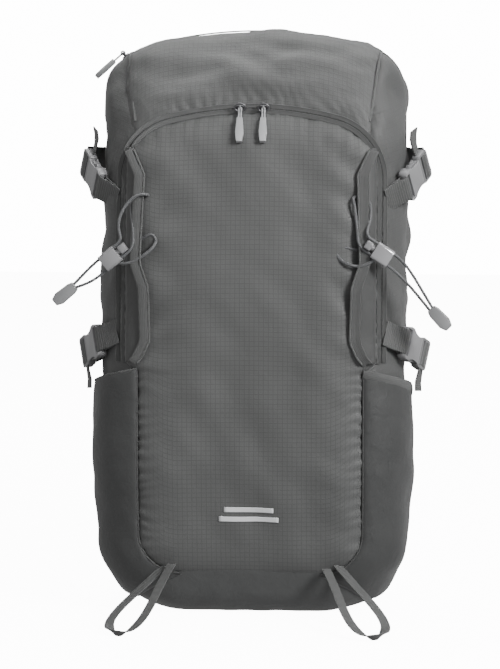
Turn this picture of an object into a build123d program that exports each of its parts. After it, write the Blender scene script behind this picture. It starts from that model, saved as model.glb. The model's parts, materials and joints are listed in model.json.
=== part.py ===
"""A hiking daypack of about 30 litres, as an assembly of its sewn panels, pads, webbing, buckles,
zips and elastic cords. Millimetres. +Z is up, the front of the pack faces -Y, the wearer's back is
at +Y, and the origin is the middle of the flat underside of the base."""

from build123d import *

import os
from math import cos, pi, radians, sin, sqrt, tan

# ---- the bag ------------------------------------------------------------------------------------
BAG_HEIGHT = 580.0  # underside of the base to the top of the crown
BAG_WIDTH = 300.0  # across the two side panels, without the pockets
BAG_DEPTH = 200.0  # back wall to the fullest point of the front
BACK_Y = 90.0  # the flat back wall
WALL = 3.0  # fabric, lining and padding together
CROWN_RADIUS = 430.0  # the top edge, seen from the front
CROWN_CORNER = 50.0  # where the crown turns down into the sides
BELLY_HEIGHT = 160.0  # height of the fullest point of the front
FOOT_ROUND_SIDE = 44.0  # how far the base turns in at the sides
FOOT_ROUND_FRONT = 48.0  # and at the front
FOOT_ROUND_BACK = 24.0  # and at the back
CORNER_RADIUS = 62.0  # upright edges of the bag
CLEAR = 0.4  # between two pieces that move past each other
SEAM_BACK_Y = 70.0  # side panels end here and the back panel begins
BASE_SEAM = 48.0  # height of the seam round the base

# ---- front panel and its zip --------------------------------------------------------------------
FLAP_TOP = 506.0  # the middle of the zip arch
FLAP_FOOT = 258.0  # the fold that the flap swings on
FLAP_HALF = 128.0  # half width between the upright runs of the zip
ARCH_RADIUS = 330.0
ARCH_CORNER = 60.0
ZIP_GAP = 1.2  # between flap and bag, where the zip's coil runs
TAPE_WIDTH = 4.6  # zip tape on each side of the gap
TAPE_THICK = 1.0
LOWER_HALF = 111.0  # half width of the front panel below the flap
LOWER_CORNER = 42.0
STRIP_HEIGHTS = (115.0, 105.5)  # middle of each reflective strip
STRIP_LENGTHS = (49.0, 59.0)
STRIP_WIDTH = 5.0
STRIP_THICK = 0.5
TOP_SEAM_HALF = 126.0  # seam between the top panel and the sides, at the crown
TOP_SEAM_FOOT_HALF = 113.0  # and where it meets the zip arch
TOP_SEAM_FOOT = 484.0

# ---- main zip -----------------------------------------------------------------------------------
MAIN_ZIP_Y = 36.0
MAIN_ZIP_END = 400.0

SLIDER_LENGTH = 9.0
SLIDER_WIDTH = 8.0
SLIDER_THICK = 2.2
BRIDGE_ROD = 0.8  # radius of the bar that the pull's cord loops round
BRIDGE_RISE = 5.5  # from the underside of the slider to the bar's axis
BRIDGE_POST = 1.2
PULL_CORD = 0.8  # radius
PULL_LEG = 13.0
PULL_SPREAD = 1.2  # from the middle to each leg of the pull's cord
GRIP_LENGTH = 25.0
GRIP_WIDTH = 8.0
GRIP_THICK = 4.8
FRONT_SLIDER_X = 11.5
MAIN_SLIDER_TURN = 42.0  # degrees round the crown's corner, from upright
MAIN_PULL_DROOP = 19.0  # degrees that its pull hangs below the slider's plane

# ---- side pockets and wings ---------------------------------------------------------------------
POCKET_BULGE = 10.0
BULGE_TOP = 400.0  # the bag keeps its own width above this height
POCKET_WALL = 2.0
POCKET_FOOT = 24.0
POCKET_BACK_Y = 52.0
POCKET_MOUTH = 256.0  # height of the mouth at the front seam
POCKET_MOUTH_DROP = 0.22  # fall of the mouth per millimetre towards the back
WING_THICK = 2.4
WING_GAP = 2.2  # between the wing's outer edge and the zip tape
WING_TOP_X = 113.0
WING_TOP = 468.0
WING_KNEE_X = 104.0  # where the slanted top end meets the long inner edge
WING_KNEE = 444.0
WING_EDGE_X = 97.0
WING_LOW_KNEE = 278.0
WING_FOOT_X = 113.0
WING_FOOT = 261.0
EDGE_TAPE_WIDTH = 10.0
EDGE_TAPE_THICK = 1.2
EDGE_TAPE_LIFT = 4.4  # of the free middle of the edge tape, above the flap
EDGE_FREE_LOW = 335.0
EDGE_FREE_HIGH = 432.0

# ---- webbing and buckles ------------------------------------------------------------------------
WEB_WIDTH = 25.0
WEB_THICK = 1.6
BUCKLE_WIDTH = 33.0
BUCKLE_THICK = 9.0
BUCKLE_PLATE = 2.0
SOCKET_LENGTH = 30.0
PLUG_LENGTH = 18.0
PRONG_REACH = 20.0
PRONG_WIDTH = 4.0
SLOT_GAP = 3.4
BUCKLES = {"upper": (427.0, 30.0), "lower": (280.0, -25.0)}  # height of its strap, and the slope
BUCKLE_ROUND = 62.0  # degrees round the front corner, from the front towards the side
BUCKLE_STAND_OFF = 7.4  # buckle's middle plane from the bag
SOCKET_START = 3.0  # along the strap, from where it touches the corner
SOCKET_BAR = 2.6
SOCKET_BAR_THICK = 4.0
TAB_END = 13.0  # the front tab runs this far back to its seam
STRAP_BACK_Y = 60.0
LOOP_WEB_WIDTH = 10.0
LOOP_WEB_THICK = 1.2
LOOP_ROOT = (81.0, -102.0, 57.0)  # where a gear loop leaves the corner seam
LOOP_TIP = (127.0, -166.0, 3.0)
LOOP_START = 6.0
LOOP_HALF = 21.0

# ---- elastic cords ------------------------------------------------------------------------------
CORD_DIAMETER = 3.0
LOCK_WIDTH = 17.5
LOCK_THICK = 11.0
LOCK_LENGTH = 18.0
LOCK_BORE = 3.3
LOCK_BORE_DEPTH = 13.0
CHANNEL_OFFSET = 6.4
CHANNEL_RADIUS = 1.8
BUTTON_SIZE = 8.6
BUTTON_HEIGHT = 7.0
BUTTON_TRAVEL = 3.0
STEM_RADIUS = 2.9
STEM_DEPTH = 8.0
SPRING_RADIUS = 2.4
SPRING_WIRE = 0.6
CAP_LENGTH = 26.0
CAP_WIDTH = 13.0
CAP_THICK = 9.0
LOCK_PLACES = {-1: (-136.0, -106.0, 362.0, 40.0), 1: (129.0, -106.0, 367.5, 33.0)}  # middle, slope
CAP_PLACES = {-1: ((-171.0, -106.0, 335.0), 39.0), 1: ((176.0, -106.0, 315.0), 46.0)}

# Each elastic cord runs from its end cap through one channel of the lock, up and round the free
# middle of the wing's edge tape, and back through the other channel to the cap.
CORD_ROUTES = {
    -1: [
        (-169.9, -106.0, 333.6), (-157.5, -106.0, 337.5), (-144.1, -106.0, 346.8),
        (-124.2, -105.9, 363.7), (-113.6, -105.7, 372.5), (-113.9, -101.6, 388.0),
        (-115.8, -97.0, 401.0), (-117.0, -92.6, 410.5), (-116.0, -89.8, 417.3),
        (-110.5, -87.2, 421.3), (-104.0, -88.4, 423.0), (-99.4, -91.2, 422.6),
        (-102.6, -96.0, 424.4), (-111.0, -96.8, 423.6), (-121.0, -98.5, 414.5),
        (-127.6, -102.0, 402.0), (-128.0, -105.4, 389.8), (-124.8, -106.0, 379.8),
        (-135.6, -105.9, 370.6), (-152.4, -106.0, 356.6), (-162.5, -106.0, 346.5),
        (-172.1, -106.0, 336.4),
    ],
    1: [
        (174.7, -106.0, 313.8), (164.5, -106.0, 326.5), (150.5, -106.0, 342.5),
        (138.9, -106.0, 353.4), (117.1, -105.9, 367.8), (105.6, -105.7, 375.2),
        (104.4, -101.2, 391.0), (102.4, -98.4, 406.0), (101.2, -96.2, 416.0),
        (99.2, -91.2, 420.8), (104.0, -88.4, 422.6), (110.5, -87.1, 421.0),
        (116.2, -89.8, 416.6), (117.4, -92.6, 409.5), (116.8, -98.0, 399.0),
        (112.4, -106.0, 386.0), (124.1, -105.9, 378.1), (145.9, -106.0, 364.2),
        (157.0, -106.0, 350.0), (167.8, -106.0, 332.0), (177.3, -106.0, 316.3),
    ],
}
# Each tether runs from the side of its lock over the edge tape, and back behind the tape.
TETHER_ROUTES = {
    -1: [
        (-127.2, -106.0, 357.7), (-120.0, -106.6, 357.0), (-111.0, -106.2, 360.5),
        (-101.5, -106.2, 366.5), (-93.5, -103.6, 373.5), (-91.3, -98.6, 380.0),
        (-95.5, -98.0, 385.5), (-101.0, -97.4, 384.0), (-106.5, -96.4, 380.5),
    ],
    1: [
        (120.8, -106.0, 362.2), (113.5, -106.6, 356.8), (104.5, -106.8, 355.8),
        (95.0, -106.6, 357.5), (86.5, -102.6, 362.5), (84.5, -100.3, 369.0),
        (90.5, -99.7, 373.5), (98.0, -99.6, 372.8), (104.5, -98.3, 370.8),
    ],
}

# ---- harness ------------------------------------------------------------------------------------
PAD_THICK = 13.0
PAD_WIDTH = 78.0
PAD_HALF_GAP = 16.0  # from the middle to each pad, half the air channel
PAD_FOOT = 186.0
PAD_TOP = 478.0
LUMBAR_FOOT = 52.0
LUMBAR_TOP = 140.0
LUMBAR_HALF = 96.0
STRAP_WIDTH = 58.0
STRAP_THICK = 10.0
STRAP_TOP = 512.0
STRAP_FOOT = 236.0
STRAP_TOP_X = 52.0
STRAP_BOW = 46.0  # how far the shoulder straps stand off the pads
STERNUM_HEIGHT = 405.0
SHEET_FOOT = 62.0
SHEET_TOP = 476.0
SHEET_HALF = 84.0
SHEET_THICK = 1.5
STAY_HALF = 70.0
STAY_WIDTH = 12.0
STAY_THICK = 3.0
STERNUM_SOCKET = 24.0
STERNUM_PLUG = 14.0
STERNUM_WIDTH = 20.0
BELT_HINGE_X = 103.0
BELT_BUCKLE_X = 34.0
BELT_BUCKLE_LENGTH = 21.0
BELT_HEIGHT = 62.0
BELT_FOOT = 66.0
BELT_THICK = 9.0
LADDER_WIDTH = 32.0
LADDER_LENGTH = 30.0
HARNESS_FOOT = 142.0
HARNESS_FOOT_X = 112.0
HAUL_WIDTH = 16.0
HAUL_HALF = 34.0
HAUL_RISE = 26.0
HAUL_FOOT = 540.0

HALF = BAG_WIDTH / 2
FRONT_Y = BACK_Y - BAG_DEPTH
PAD_FACE = BACK_Y + PAD_THICK
LEFT, RIGHT = -1, 1
SIDES = {"left": LEFT, "right": RIGHT}
FAR = 900.0  # longer than the whole pack, for cutting bodies


# ---- the bag's surface --------------------------------------------------------------------------
def sections(grow=0.0, bulge=0.0):
    """Rounded rectangles that the bag is lofted through: (height, half width, front, back, corner)."""
    rows = [
        (0.0, FOOT_ROUND_SIDE, FOOT_ROUND_FRONT, FOOT_ROUND_BACK, 14.0),
        (18.0, FOOT_ROUND_SIDE * 0.42, FOOT_ROUND_FRONT * 0.5, FOOT_ROUND_BACK * 0.3, 8.0),
        (60.0, 3.0, 8.0, 0.0, 3.0),
        (BELLY_HEIGHT, 0.0, 0.0, 0.0, 0.0),
        (BELLY_HEIGHT + 100, 0.0, 2.0, 0.0, 0.0),
        (BELLY_HEIGHT + 205, 0.0, 11.0, 0.0, 2.0),
        (BAG_HEIGHT - 100, 0.0, 34.0, 0.0, 6.0),
        (BAG_HEIGHT - 45, 0.0, 62.0, 2.0, 10.0),
        (BAG_HEIGHT + 14, 0.0, 108.0, 10.0, 26.0),
    ]
    made = []
    for n, (z, side_in, front_in, back_in, tighter) in enumerate(rows):
        height = z - grow if n == 0 else z
        wider = grow + (bulge if z < BULGE_TOP else 0)
        made.append((height, HALF - side_in + wider, FRONT_Y + front_in - grow, BACK_Y - back_in + grow,
                     CORNER_RADIUS - tighter + wider))
    return made


def section_at(z, grow=0.0):
    """(half width, front, back, corner radius) of the bag at height z."""
    rows = sections(grow)
    for low, high in zip(rows, rows[1:]):
        if z <= high[0]:
            share = (z - low[0]) / (high[0] - low[0])
            return tuple(low[k] + share * (high[k] - low[k]) for k in range(1, 5))
    return rows[-1][1:]


def front_at(x, z, off=0.0):
    """The y of the bag's front at (x, z), moved forward by off."""
    half, front, _, corner = section_at(z)
    past = max(0.0, abs(x) - (half - corner))
    return front + corner - sqrt(max(0.0, corner**2 - past**2)) - off


def corner_plane(side, z, around, off, tilt):
    """A plane on the bag's front corner: x runs round towards the back, z points outwards."""
    half, front, _, corner = section_at(z)
    a = radians(around)
    out = Vector(side * sin(a), -cos(a), 0)
    along = Vector(side * cos(a) * cos(radians(tilt)), sin(a) * cos(radians(tilt)), sin(radians(tilt)))
    middle = Vector(side * (half - corner), front + corner, z) + out * (corner + off)
    return Plane(origin=middle, x_dir=along, z_dir=out)


def bag_form(grow=0.0, bulge=0.0):
    """The bag's closed outer form, grown outwards by that much."""
    with BuildPart() as form:
        for z, half, front, back, corner in sections(grow, bulge):
            with BuildSketch(Plane.XY.offset(z)):
                with Locations((0, (front + back) / 2)):
                    RectangleRounded(2 * half, back - front, corner)
        loft(ruled=True)
        with BuildSketch(Plane.XZ) as crown:
            with Locations((0, BAG_HEIGHT - CROWN_RADIUS)):
                Circle(CROWN_RADIUS + grow)
            with Locations((0, BAG_HEIGHT / 2)):
                Rectangle(2 * (HALF + grow + bulge), BAG_HEIGHT + 100, mode=Mode.INTERSECT)
            top = crown.vertices().group_by(Axis.Y)[-1]
            fillet(top, CROWN_CORNER + grow)
        extrude(amount=FAR / 2, both=True, mode=Mode.INTERSECT)
    return form.part


def block(x_range, y_range, z_range):
    """A plain cutting block between three pairs of limits."""
    with BuildPart() as cutter:
        with Locations([(sum(x_range) / 2, sum(y_range) / 2, sum(z_range) / 2)]):
            Box(x_range[1] - x_range[0], y_range[1] - y_range[0], z_range[1] - z_range[0])
    return cutter.part


def flap_prism(off):
    """The flap's outline, grown by off, as a prism through the front half of the bag."""
    with BuildPart() as prism:
        with BuildSketch(Plane.XZ) as outline:
            with Locations((0, FLAP_TOP - ARCH_RADIUS)):
                Circle(ARCH_RADIUS + off)
            with Locations((0, FLAP_FOOT + FAR / 2)):
                Rectangle(2 * (FLAP_HALF + off), FAR, mode=Mode.INTERSECT)
            top = outline.vertices().group_by(Axis.Y)[-1]
            fillet(top, ARCH_CORNER + off)
        extrude(amount=FAR / 2)
    return prism.part


def lower_prism(off=0.0):
    """The outline of the front panel below the flap, as a prism through the front of the bag."""
    with BuildPart() as prism:
        with BuildSketch(Plane.XZ) as outline:
            with Locations((0, (BASE_SEAM + FLAP_FOOT) / 2)):
                Rectangle(2 * (LOWER_HALF + off), FLAP_FOOT - BASE_SEAM + 2 * off)
            fillet(outline.vertices().group_by(Axis.Y)[0], LOWER_CORNER)
        extrude(amount=FAR / 2)
    return prism.part


def top_prism():
    """The top panel's outline between its two side seams, from front to back."""
    with BuildPart() as prism:
        with BuildSketch(Plane.XZ):
            with BuildLine():
                Polyline(
                    (-TOP_SEAM_FOOT_HALF, TOP_SEAM_FOOT),
                    (-TOP_SEAM_HALF, BAG_HEIGHT - 35),
                    (-TOP_SEAM_HALF, BAG_HEIGHT + 40),
                    (TOP_SEAM_HALF, BAG_HEIGHT + 40),
                    (TOP_SEAM_HALF, BAG_HEIGHT - 35),
                    (TOP_SEAM_FOOT_HALF, TOP_SEAM_FOOT),
                    (TOP_SEAM_FOOT_HALF - 40, TOP_SEAM_FOOT - 30),
                    (-TOP_SEAM_FOOT_HALF + 40, TOP_SEAM_FOOT - 30),
                    close=True,
                )
            make_face()
        extrude(amount=FAR / 2, both=True)
    return prism.part


def wing_prism(side, inset, width):
    """The wing's outline inset from its inner edge, as a prism; width None is the whole wing."""
    outer = FLAP_HALF - ZIP_GAP / 2 - TAPE_WIDTH - WING_GAP
    inner = [
        (WING_TOP_X, WING_TOP),
        (WING_KNEE_X, WING_KNEE),
        (WING_EDGE_X, EDGE_FREE_LOW),
        (WING_EDGE_X, WING_LOW_KNEE),
        (WING_FOOT_X, WING_FOOT),
    ]
    edge = [(x + inset, z) for x, z in inner]
    if width is None:
        far = [(outer, WING_FOOT), (outer, WING_TOP)]
    else:
        far = [(min(x + inset + width, outer), z) for x, z in reversed(inner[1:4])]
        edge = edge[1:4]
    with BuildPart() as prism:
        with BuildSketch(Plane.XZ):
            with BuildLine():
                Polyline(*[(side * x, z) for x, z in edge + far], close=True)
            make_face()
        extrude(amount=FAR / 2)
    return prism.part


# ---- files --------------------------------------------------------------------------------------
os.makedirs("parts", exist_ok=True)


def save(label, part):
    """Names a finished piece and writes it."""
    part.label = label
    export_step(part, f"parts/{label}.step")


# ---- sewn panels --------------------------------------------------------------------------------
outer_form = bag_form()
inner_form = bag_form(-WALL)
tape_form = bag_form(TAPE_THICK)
front_half = block((-FAR, FAR), (-FAR, 0), (-FAR, FAR))

with BuildPart() as base_panel:
    add(outer_form)
    add(inner_form, mode=Mode.SUBTRACT)
    add(block((-FAR, FAR), (-FAR, FAR), (-FAR, BASE_SEAM)), mode=Mode.INTERSECT)
save("base_panel", base_panel.part)

with BuildPart() as front_lower_panel:
    add(outer_form)
    add(inner_form, mode=Mode.SUBTRACT)
    add(lower_prism(), mode=Mode.INTERSECT)
save("front_lower_panel", front_lower_panel.part)

with BuildPart() as front_flap:
    add(outer_form)
    add(inner_form, mode=Mode.SUBTRACT)
    add(flap_prism(-ZIP_GAP / 2), mode=Mode.INTERSECT)
    add(block((-FAR, FAR), (-FAR, FAR), (-FAR, FLAP_FOOT + CLEAR)), mode=Mode.SUBTRACT)
save("front_flap", front_flap.part)

with BuildPart() as top_panel:
    add(outer_form)
    add(inner_form, mode=Mode.SUBTRACT)
    add(top_prism(), mode=Mode.INTERSECT)
    add(block((-FAR, FAR), (MAIN_ZIP_Y, FAR), (-FAR, FAR)), mode=Mode.SUBTRACT)
    add(flap_prism(ZIP_GAP / 2), mode=Mode.SUBTRACT)
save("top_panel", top_panel.part)

with BuildPart() as back_panel:
    add(outer_form)
    add(inner_form, mode=Mode.SUBTRACT)
    add(block((-FAR, FAR), (SEAM_BACK_Y, FAR), (BASE_SEAM, FAR)), mode=Mode.INTERSECT)
save("back_panel", back_panel.part)

with BuildPart() as crown_panel:
    add(outer_form)
    add(inner_form, mode=Mode.SUBTRACT)
    add(top_prism(), mode=Mode.INTERSECT)
    add(block((-FAR, FAR), (MAIN_ZIP_Y, SEAM_BACK_Y), (-FAR, FAR)), mode=Mode.INTERSECT)
save("crown_panel", crown_panel.part)

for name, side in SIDES.items():
    with BuildPart() as side_panel:
        add(outer_form)
        add(inner_form, mode=Mode.SUBTRACT)
        x_range = (0, FAR) if side == RIGHT else (-FAR, 0)
        add(block(x_range, (-FAR, SEAM_BACK_Y), (BASE_SEAM, FAR)), mode=Mode.INTERSECT)
        add(top_prism(), mode=Mode.SUBTRACT)
        add(lower_prism(), mode=Mode.SUBTRACT)
        add(flap_prism(ZIP_GAP / 2), mode=Mode.SUBTRACT)
    save(f"side_panel_{name}", side_panel.part)

with BuildPart() as zip_tapes:
    add(flap_prism(ZIP_GAP / 2 + TAPE_WIDTH))
    add(flap_prism(ZIP_GAP / 2), mode=Mode.SUBTRACT)
    tape_range = (MAIN_ZIP_Y - TAPE_WIDTH, MAIN_ZIP_Y + TAPE_WIDTH)
    add(block((-FAR, FAR), tape_range, (MAIN_ZIP_END, FAR)))
    add(tape_form, mode=Mode.INTERSECT)
    add(outer_form, mode=Mode.SUBTRACT)
save("zip_tapes", zip_tapes.part)

with BuildPart() as front_zip_inner_tape:
    add(tape_form)
    add(outer_form, mode=Mode.SUBTRACT)
    add(flap_prism(-ZIP_GAP / 2), mode=Mode.INTERSECT)
    add(flap_prism(-ZIP_GAP / 2 - TAPE_WIDTH), mode=Mode.SUBTRACT)
    add(block((-FAR, FAR), (-FAR, FAR), (-FAR, FLAP_FOOT + CLEAR)), mode=Mode.SUBTRACT)
save("front_zip_inner_tape", front_zip_inner_tape.part)

strip_form = bag_form(STRIP_THICK)
with BuildPart() as reflective_strips:
    with BuildSketch(Plane.XZ):
        for height, length in zip(STRIP_HEIGHTS, STRIP_LENGTHS):
            with Locations((0, height)):
                SlotOverall(length, STRIP_WIDTH)
    extrude(amount=FAR / 2)
    add(strip_form, mode=Mode.INTERSECT)
    add(outer_form, mode=Mode.SUBTRACT)
save("reflective_strips", reflective_strips.part)


# ---- inside -------------------------------------------------------------------------------------
with BuildPart() as frame_sheet:
    with BuildSketch(Plane.XZ.offset(-(BACK_Y - WALL - CLEAR))):
        with Locations((0, (SHEET_FOOT + SHEET_TOP) / 2)):
            RectangleRounded(2 * SHEET_HALF, SHEET_TOP - SHEET_FOOT, 30)
    extrude(amount=SHEET_THICK)
save("frame_sheet", frame_sheet.part)

with BuildPart() as frame_stay:
    stay_back = BACK_Y - WALL - CLEAR - SHEET_THICK - CLEAR
    with BuildSketch(Plane.XZ.offset(-stay_back)):
        with Locations((0, (SHEET_FOOT + SHEET_TOP) / 2)):
            RectangleRounded(2 * STAY_HALF, SHEET_TOP - SHEET_FOOT - 40, 40)
            RectangleRounded(2 * (STAY_HALF - STAY_WIDTH), SHEET_TOP - SHEET_FOOT - 40 - 2 * STAY_WIDTH, 30,
                             mode=Mode.SUBTRACT)
    extrude(amount=STAY_THICK)
save("frame_stay", frame_stay.part)


# ---- side pockets -------------------------------------------------------------------------------
def pocket_prism(side, inset, lift):
    """The pocket's side outline, inset at the front, the back and the foot, and lifted at its mouth."""
    reach = POCKET_BACK_Y - FRONT_Y
    with BuildPart() as prism:
        with BuildSketch(Plane.YZ.offset(side * (LOWER_HALF + inset))):
            with BuildLine():
                Polyline(
                    (FRONT_Y - 20, POCKET_FOOT + inset),
                    (POCKET_BACK_Y - inset, POCKET_FOOT + inset),
                    (POCKET_BACK_Y - inset, POCKET_MOUTH - POCKET_MOUTH_DROP * reach + lift),
                    (FRONT_Y, POCKET_MOUTH + lift),
                    (FRONT_Y - 20, POCKET_MOUTH + lift),
                    close=True,
                )
            make_face()
        extrude(amount=side * HALF)
    return prism.part


pocket_form = bag_form(0, POCKET_BULGE)
pocket_hollow = bag_form(-POCKET_WALL, POCKET_BULGE)
for name, side in SIDES.items():
    with BuildPart() as hollow:
        add(pocket_hollow)
        add(pocket_prism(side, POCKET_WALL, POCKET_BULGE), mode=Mode.INTERSECT)
    with BuildPart() as side_pocket:
        add(pocket_form)
        add(pocket_prism(side, 0, 0), mode=Mode.INTERSECT)
        add(outer_form, mode=Mode.SUBTRACT)
        add(hollow.part, mode=Mode.SUBTRACT)
    save(f"side_pocket_{name}", side_pocket.part)


# ---- wings on the flap --------------------------------------------------------------------------
wing_form = bag_form(WING_THICK)
edge_form = bag_form(EDGE_TAPE_LIFT + EDGE_TAPE_THICK)
lift_form = bag_form(EDGE_TAPE_LIFT)
free_span = block((-FAR, FAR), (-FAR, FAR), (EDGE_FREE_LOW, EDGE_FREE_HIGH))
slit = WING_EDGE_X + EDGE_TAPE_WIDTH + 8
with BuildPart() as wings:
    for side in SIDES.values():
        add(wing_prism(side, 0, None))
    add(wing_form, mode=Mode.INTERSECT)
    add(flap_prism(-ZIP_GAP / 2 - TAPE_WIDTH), mode=Mode.INTERSECT)
    add(outer_form, mode=Mode.SUBTRACT)
    add(block((-slit, slit), (-FAR, FAR), (EDGE_FREE_LOW, EDGE_FREE_HIGH)), mode=Mode.SUBTRACT)
save("wings", wings.part)

with BuildPart() as tape_gap:
    add(lift_form)
    add(free_span, mode=Mode.INTERSECT)
with BuildPart() as wing_edge_tapes:
    for side in SIDES.values():
        add(wing_prism(side, 0, EDGE_TAPE_WIDTH))
    add(edge_form, mode=Mode.INTERSECT)
    add(wing_form, mode=Mode.SUBTRACT)
    add(tape_gap.part, mode=Mode.SUBTRACT)
save("wing_edge_tapes", wing_edge_tapes.part)


# ---- zip sliders and pulls ----------------------------------------------------------------------
def front_plane(x, z, off):
    """A plane on the bag's front, its x along +X, its y up the fabric, moved out by off."""
    step = 4.0
    up = Vector(0, front_at(x, z + step) - front_at(x, z - step), 2 * step).normalized()
    out = Vector(1, 0, 0).cross(up)
    return Plane(origin=Vector(x, front_at(x, z), z) + out * off, x_dir=(1, 0, 0), z_dir=out)


def zip_slider(plane):
    """A slider lying on the zip tape; its bar runs along the plane's x."""
    with BuildPart(plane) as slider:
        with Locations((0, 0, SLIDER_THICK / 2)):
            Box(SLIDER_LENGTH, SLIDER_WIDTH, SLIDER_THICK)
        fillet(slider.edges().filter_by(Axis(plane.origin, plane.z_dir)), 2.0)
        with Locations([(s * (SLIDER_LENGTH / 2 - BRIDGE_POST), 0, BRIDGE_RISE / 2) for s in (-1, 1)]):
            Box(BRIDGE_POST, 2.4, BRIDGE_RISE + BRIDGE_ROD)
        with Locations((0, 0, BRIDGE_RISE)):
            Cylinder(BRIDGE_ROD, SLIDER_LENGTH - 2 * BRIDGE_POST, rotation=(0, 90, 0))
    return slider.part


def zip_pull(plane):
    """A cord loop round a slider's bar with a moulded grip: the bar lies along the plane's x, at its
    origin, and the pull hangs along -y."""
    ring = BRIDGE_ROD + CLEAR + PULL_CORD
    leg = PULL_LEG - ring
    with BuildPart(plane) as pull:
        Torus(ring, PULL_CORD, rotation=(0, 90, 0))
        with Locations([(s * PULL_SPREAD, -ring - leg / 2, 0) for s in (-1, 1)]):
            Cylinder(PULL_CORD, leg + PULL_CORD, rotation=(90, 0, 0))
        with BuildSketch(plane.offset(-GRIP_THICK / 2)):
            with BuildLine():
                Polyline(
                    (-GRIP_WIDTH * 0.34, -PULL_LEG),
                    (GRIP_WIDTH * 0.34, -PULL_LEG),
                    (GRIP_WIDTH / 2, -PULL_LEG - GRIP_LENGTH * 0.6),
                    (GRIP_WIDTH * 0.36, -PULL_LEG - GRIP_LENGTH),
                    (-GRIP_WIDTH * 0.36, -PULL_LEG - GRIP_LENGTH),
                    (-GRIP_WIDTH / 2, -PULL_LEG - GRIP_LENGTH * 0.6),
                    close=True,
                )
            make_face()
        extrude(amount=GRIP_THICK)
    return pull.part


for name, side in SIDES.items():
    x = side * FRONT_SLIDER_X
    z = FLAP_TOP - ARCH_RADIUS + sqrt(ARCH_RADIUS**2 - x**2)
    seat = front_plane(x, z, TAPE_THICK + CLEAR)
    save(f"front_zip_slider_{name}", zip_slider(seat))
    save(f"front_zip_pull_{name}", zip_pull(seat.offset(BRIDGE_RISE)))

turn = radians(MAIN_SLIDER_TURN)
fillet_x = HALF - CROWN_CORNER
fillet_z = BAG_HEIGHT - CROWN_RADIUS + sqrt((CROWN_RADIUS - CROWN_CORNER) ** 2 - fillet_x**2)
crown_out = Vector(-sin(turn), 0, cos(turn))
crown_seat = Plane(
    origin=Vector(-fillet_x, MAIN_ZIP_Y, fillet_z) + crown_out * (CROWN_CORNER + TAPE_THICK + CLEAR + 0.6),
    x_dir=(0, -1, 0),
    z_dir=crown_out,
)
save("main_zip_slider", zip_slider(crown_seat))
pull_plane = crown_seat.offset(BRIDGE_RISE)
save("main_zip_pull", zip_pull(pull_plane.rotated((MAIN_PULL_DROOP, 0, 0))))


# ---- compression straps -------------------------------------------------------------------------
def along(plane, x, y=0.0, z=0.0):
    """A point of a plane in the pack's own coordinates."""
    return plane.origin + plane.x_dir * x + plane.y_dir * y + plane.z_dir * z


socket_end = SOCKET_START + SOCKET_LENGTH
plug_start = socket_end + 0.6
plug_end = plug_start + PLUG_LENGTH
slot_width = WEB_WIDTH + 1.5
cavity_start = SOCKET_START + SOCKET_BAR + SLOT_GAP + 3.0


def buckle_socket(plane):
    """The half of a side-release buckle that the front tab holds: two plates over a web bar."""
    with BuildPart(plane) as socket:
        with Locations(((SOCKET_START + socket_end) / 2, 0, 0)):
            Box(SOCKET_LENGTH, BUCKLE_WIDTH, BUCKLE_THICK)
        fillet(socket.edges().filter_by(Axis(plane.origin, plane.z_dir)), 4.0)
        waist = 22.0
        with Locations([(socket_end - 8, s * (BUCKLE_WIDTH / 2 + waist - 4.0), 0) for s in (-1, 1)]):
            Cylinder(waist, BUCKLE_THICK + 2, mode=Mode.SUBTRACT)
        with Locations(((cavity_start + socket_end) / 2 + 1, 0, 0)):
            Box(socket_end - cavity_start + 2, BUCKLE_WIDTH + 2, BUCKLE_THICK - 2 * BUCKLE_PLATE,
                mode=Mode.SUBTRACT)
        with Locations((SOCKET_START + SOCKET_BAR + SLOT_GAP / 2, 0, 0)):
            Box(SLOT_GAP, slot_width, BUCKLE_THICK + 2, mode=Mode.SUBTRACT)
        thin = (BUCKLE_THICK - SOCKET_BAR_THICK) / 2
        reach = SOCKET_BAR + SLOT_GAP
        with Locations([(SOCKET_START + reach / 2, 0, s * (BUCKLE_THICK - thin) / 2) for s in (-1, 1)]):
            Box(reach + 1, slot_width, thin + 0.01, mode=Mode.SUBTRACT)
    return socket.part


def buckle_plug(plane):
    """The half that unclips: two prongs and a tongue in the socket, and two web slots behind."""
    blade = BUCKLE_THICK - 2 * BUCKLE_PLATE - 2 * CLEAR
    with BuildPart(plane) as plug:
        with Locations(((plug_start + plug_end) / 2, 0, 0)):
            Box(PLUG_LENGTH, BUCKLE_WIDTH - 2, BUCKLE_THICK - 1)
        fillet(plug.edges().filter_by(Axis(plane.origin, plane.z_dir)), 3.5)
        with Locations([(plug_start + x, 0, 0) for x in (5.5, 13.0)]):
            Box(SLOT_GAP, slot_width - 1.0, BUCKLE_THICK, mode=Mode.SUBTRACT)
        with BuildSketch(plane.offset(-blade / 2)):
            for s in (-1, 1):
                with BuildLine():
                    Polyline(
                        (plug_start + 1, s * 8.5),
                        (plug_start - PRONG_REACH, s * 11.0),
                        (plug_start - PRONG_REACH, s * 14.0),
                        (plug_start - PRONG_REACH + 5, s * 16.6),
                        (plug_start - PRONG_REACH + 10, s * 14.2),
                        (plug_start + 1, s * 12.5),
                        close=True,
                    )
                make_face()
            with Locations((plug_start - PRONG_REACH / 2 + 2, 0)):
                Rectangle(PRONG_REACH - 2, PRONG_WIDTH)
        extrude(amount=blade)
    return plug.part


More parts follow.
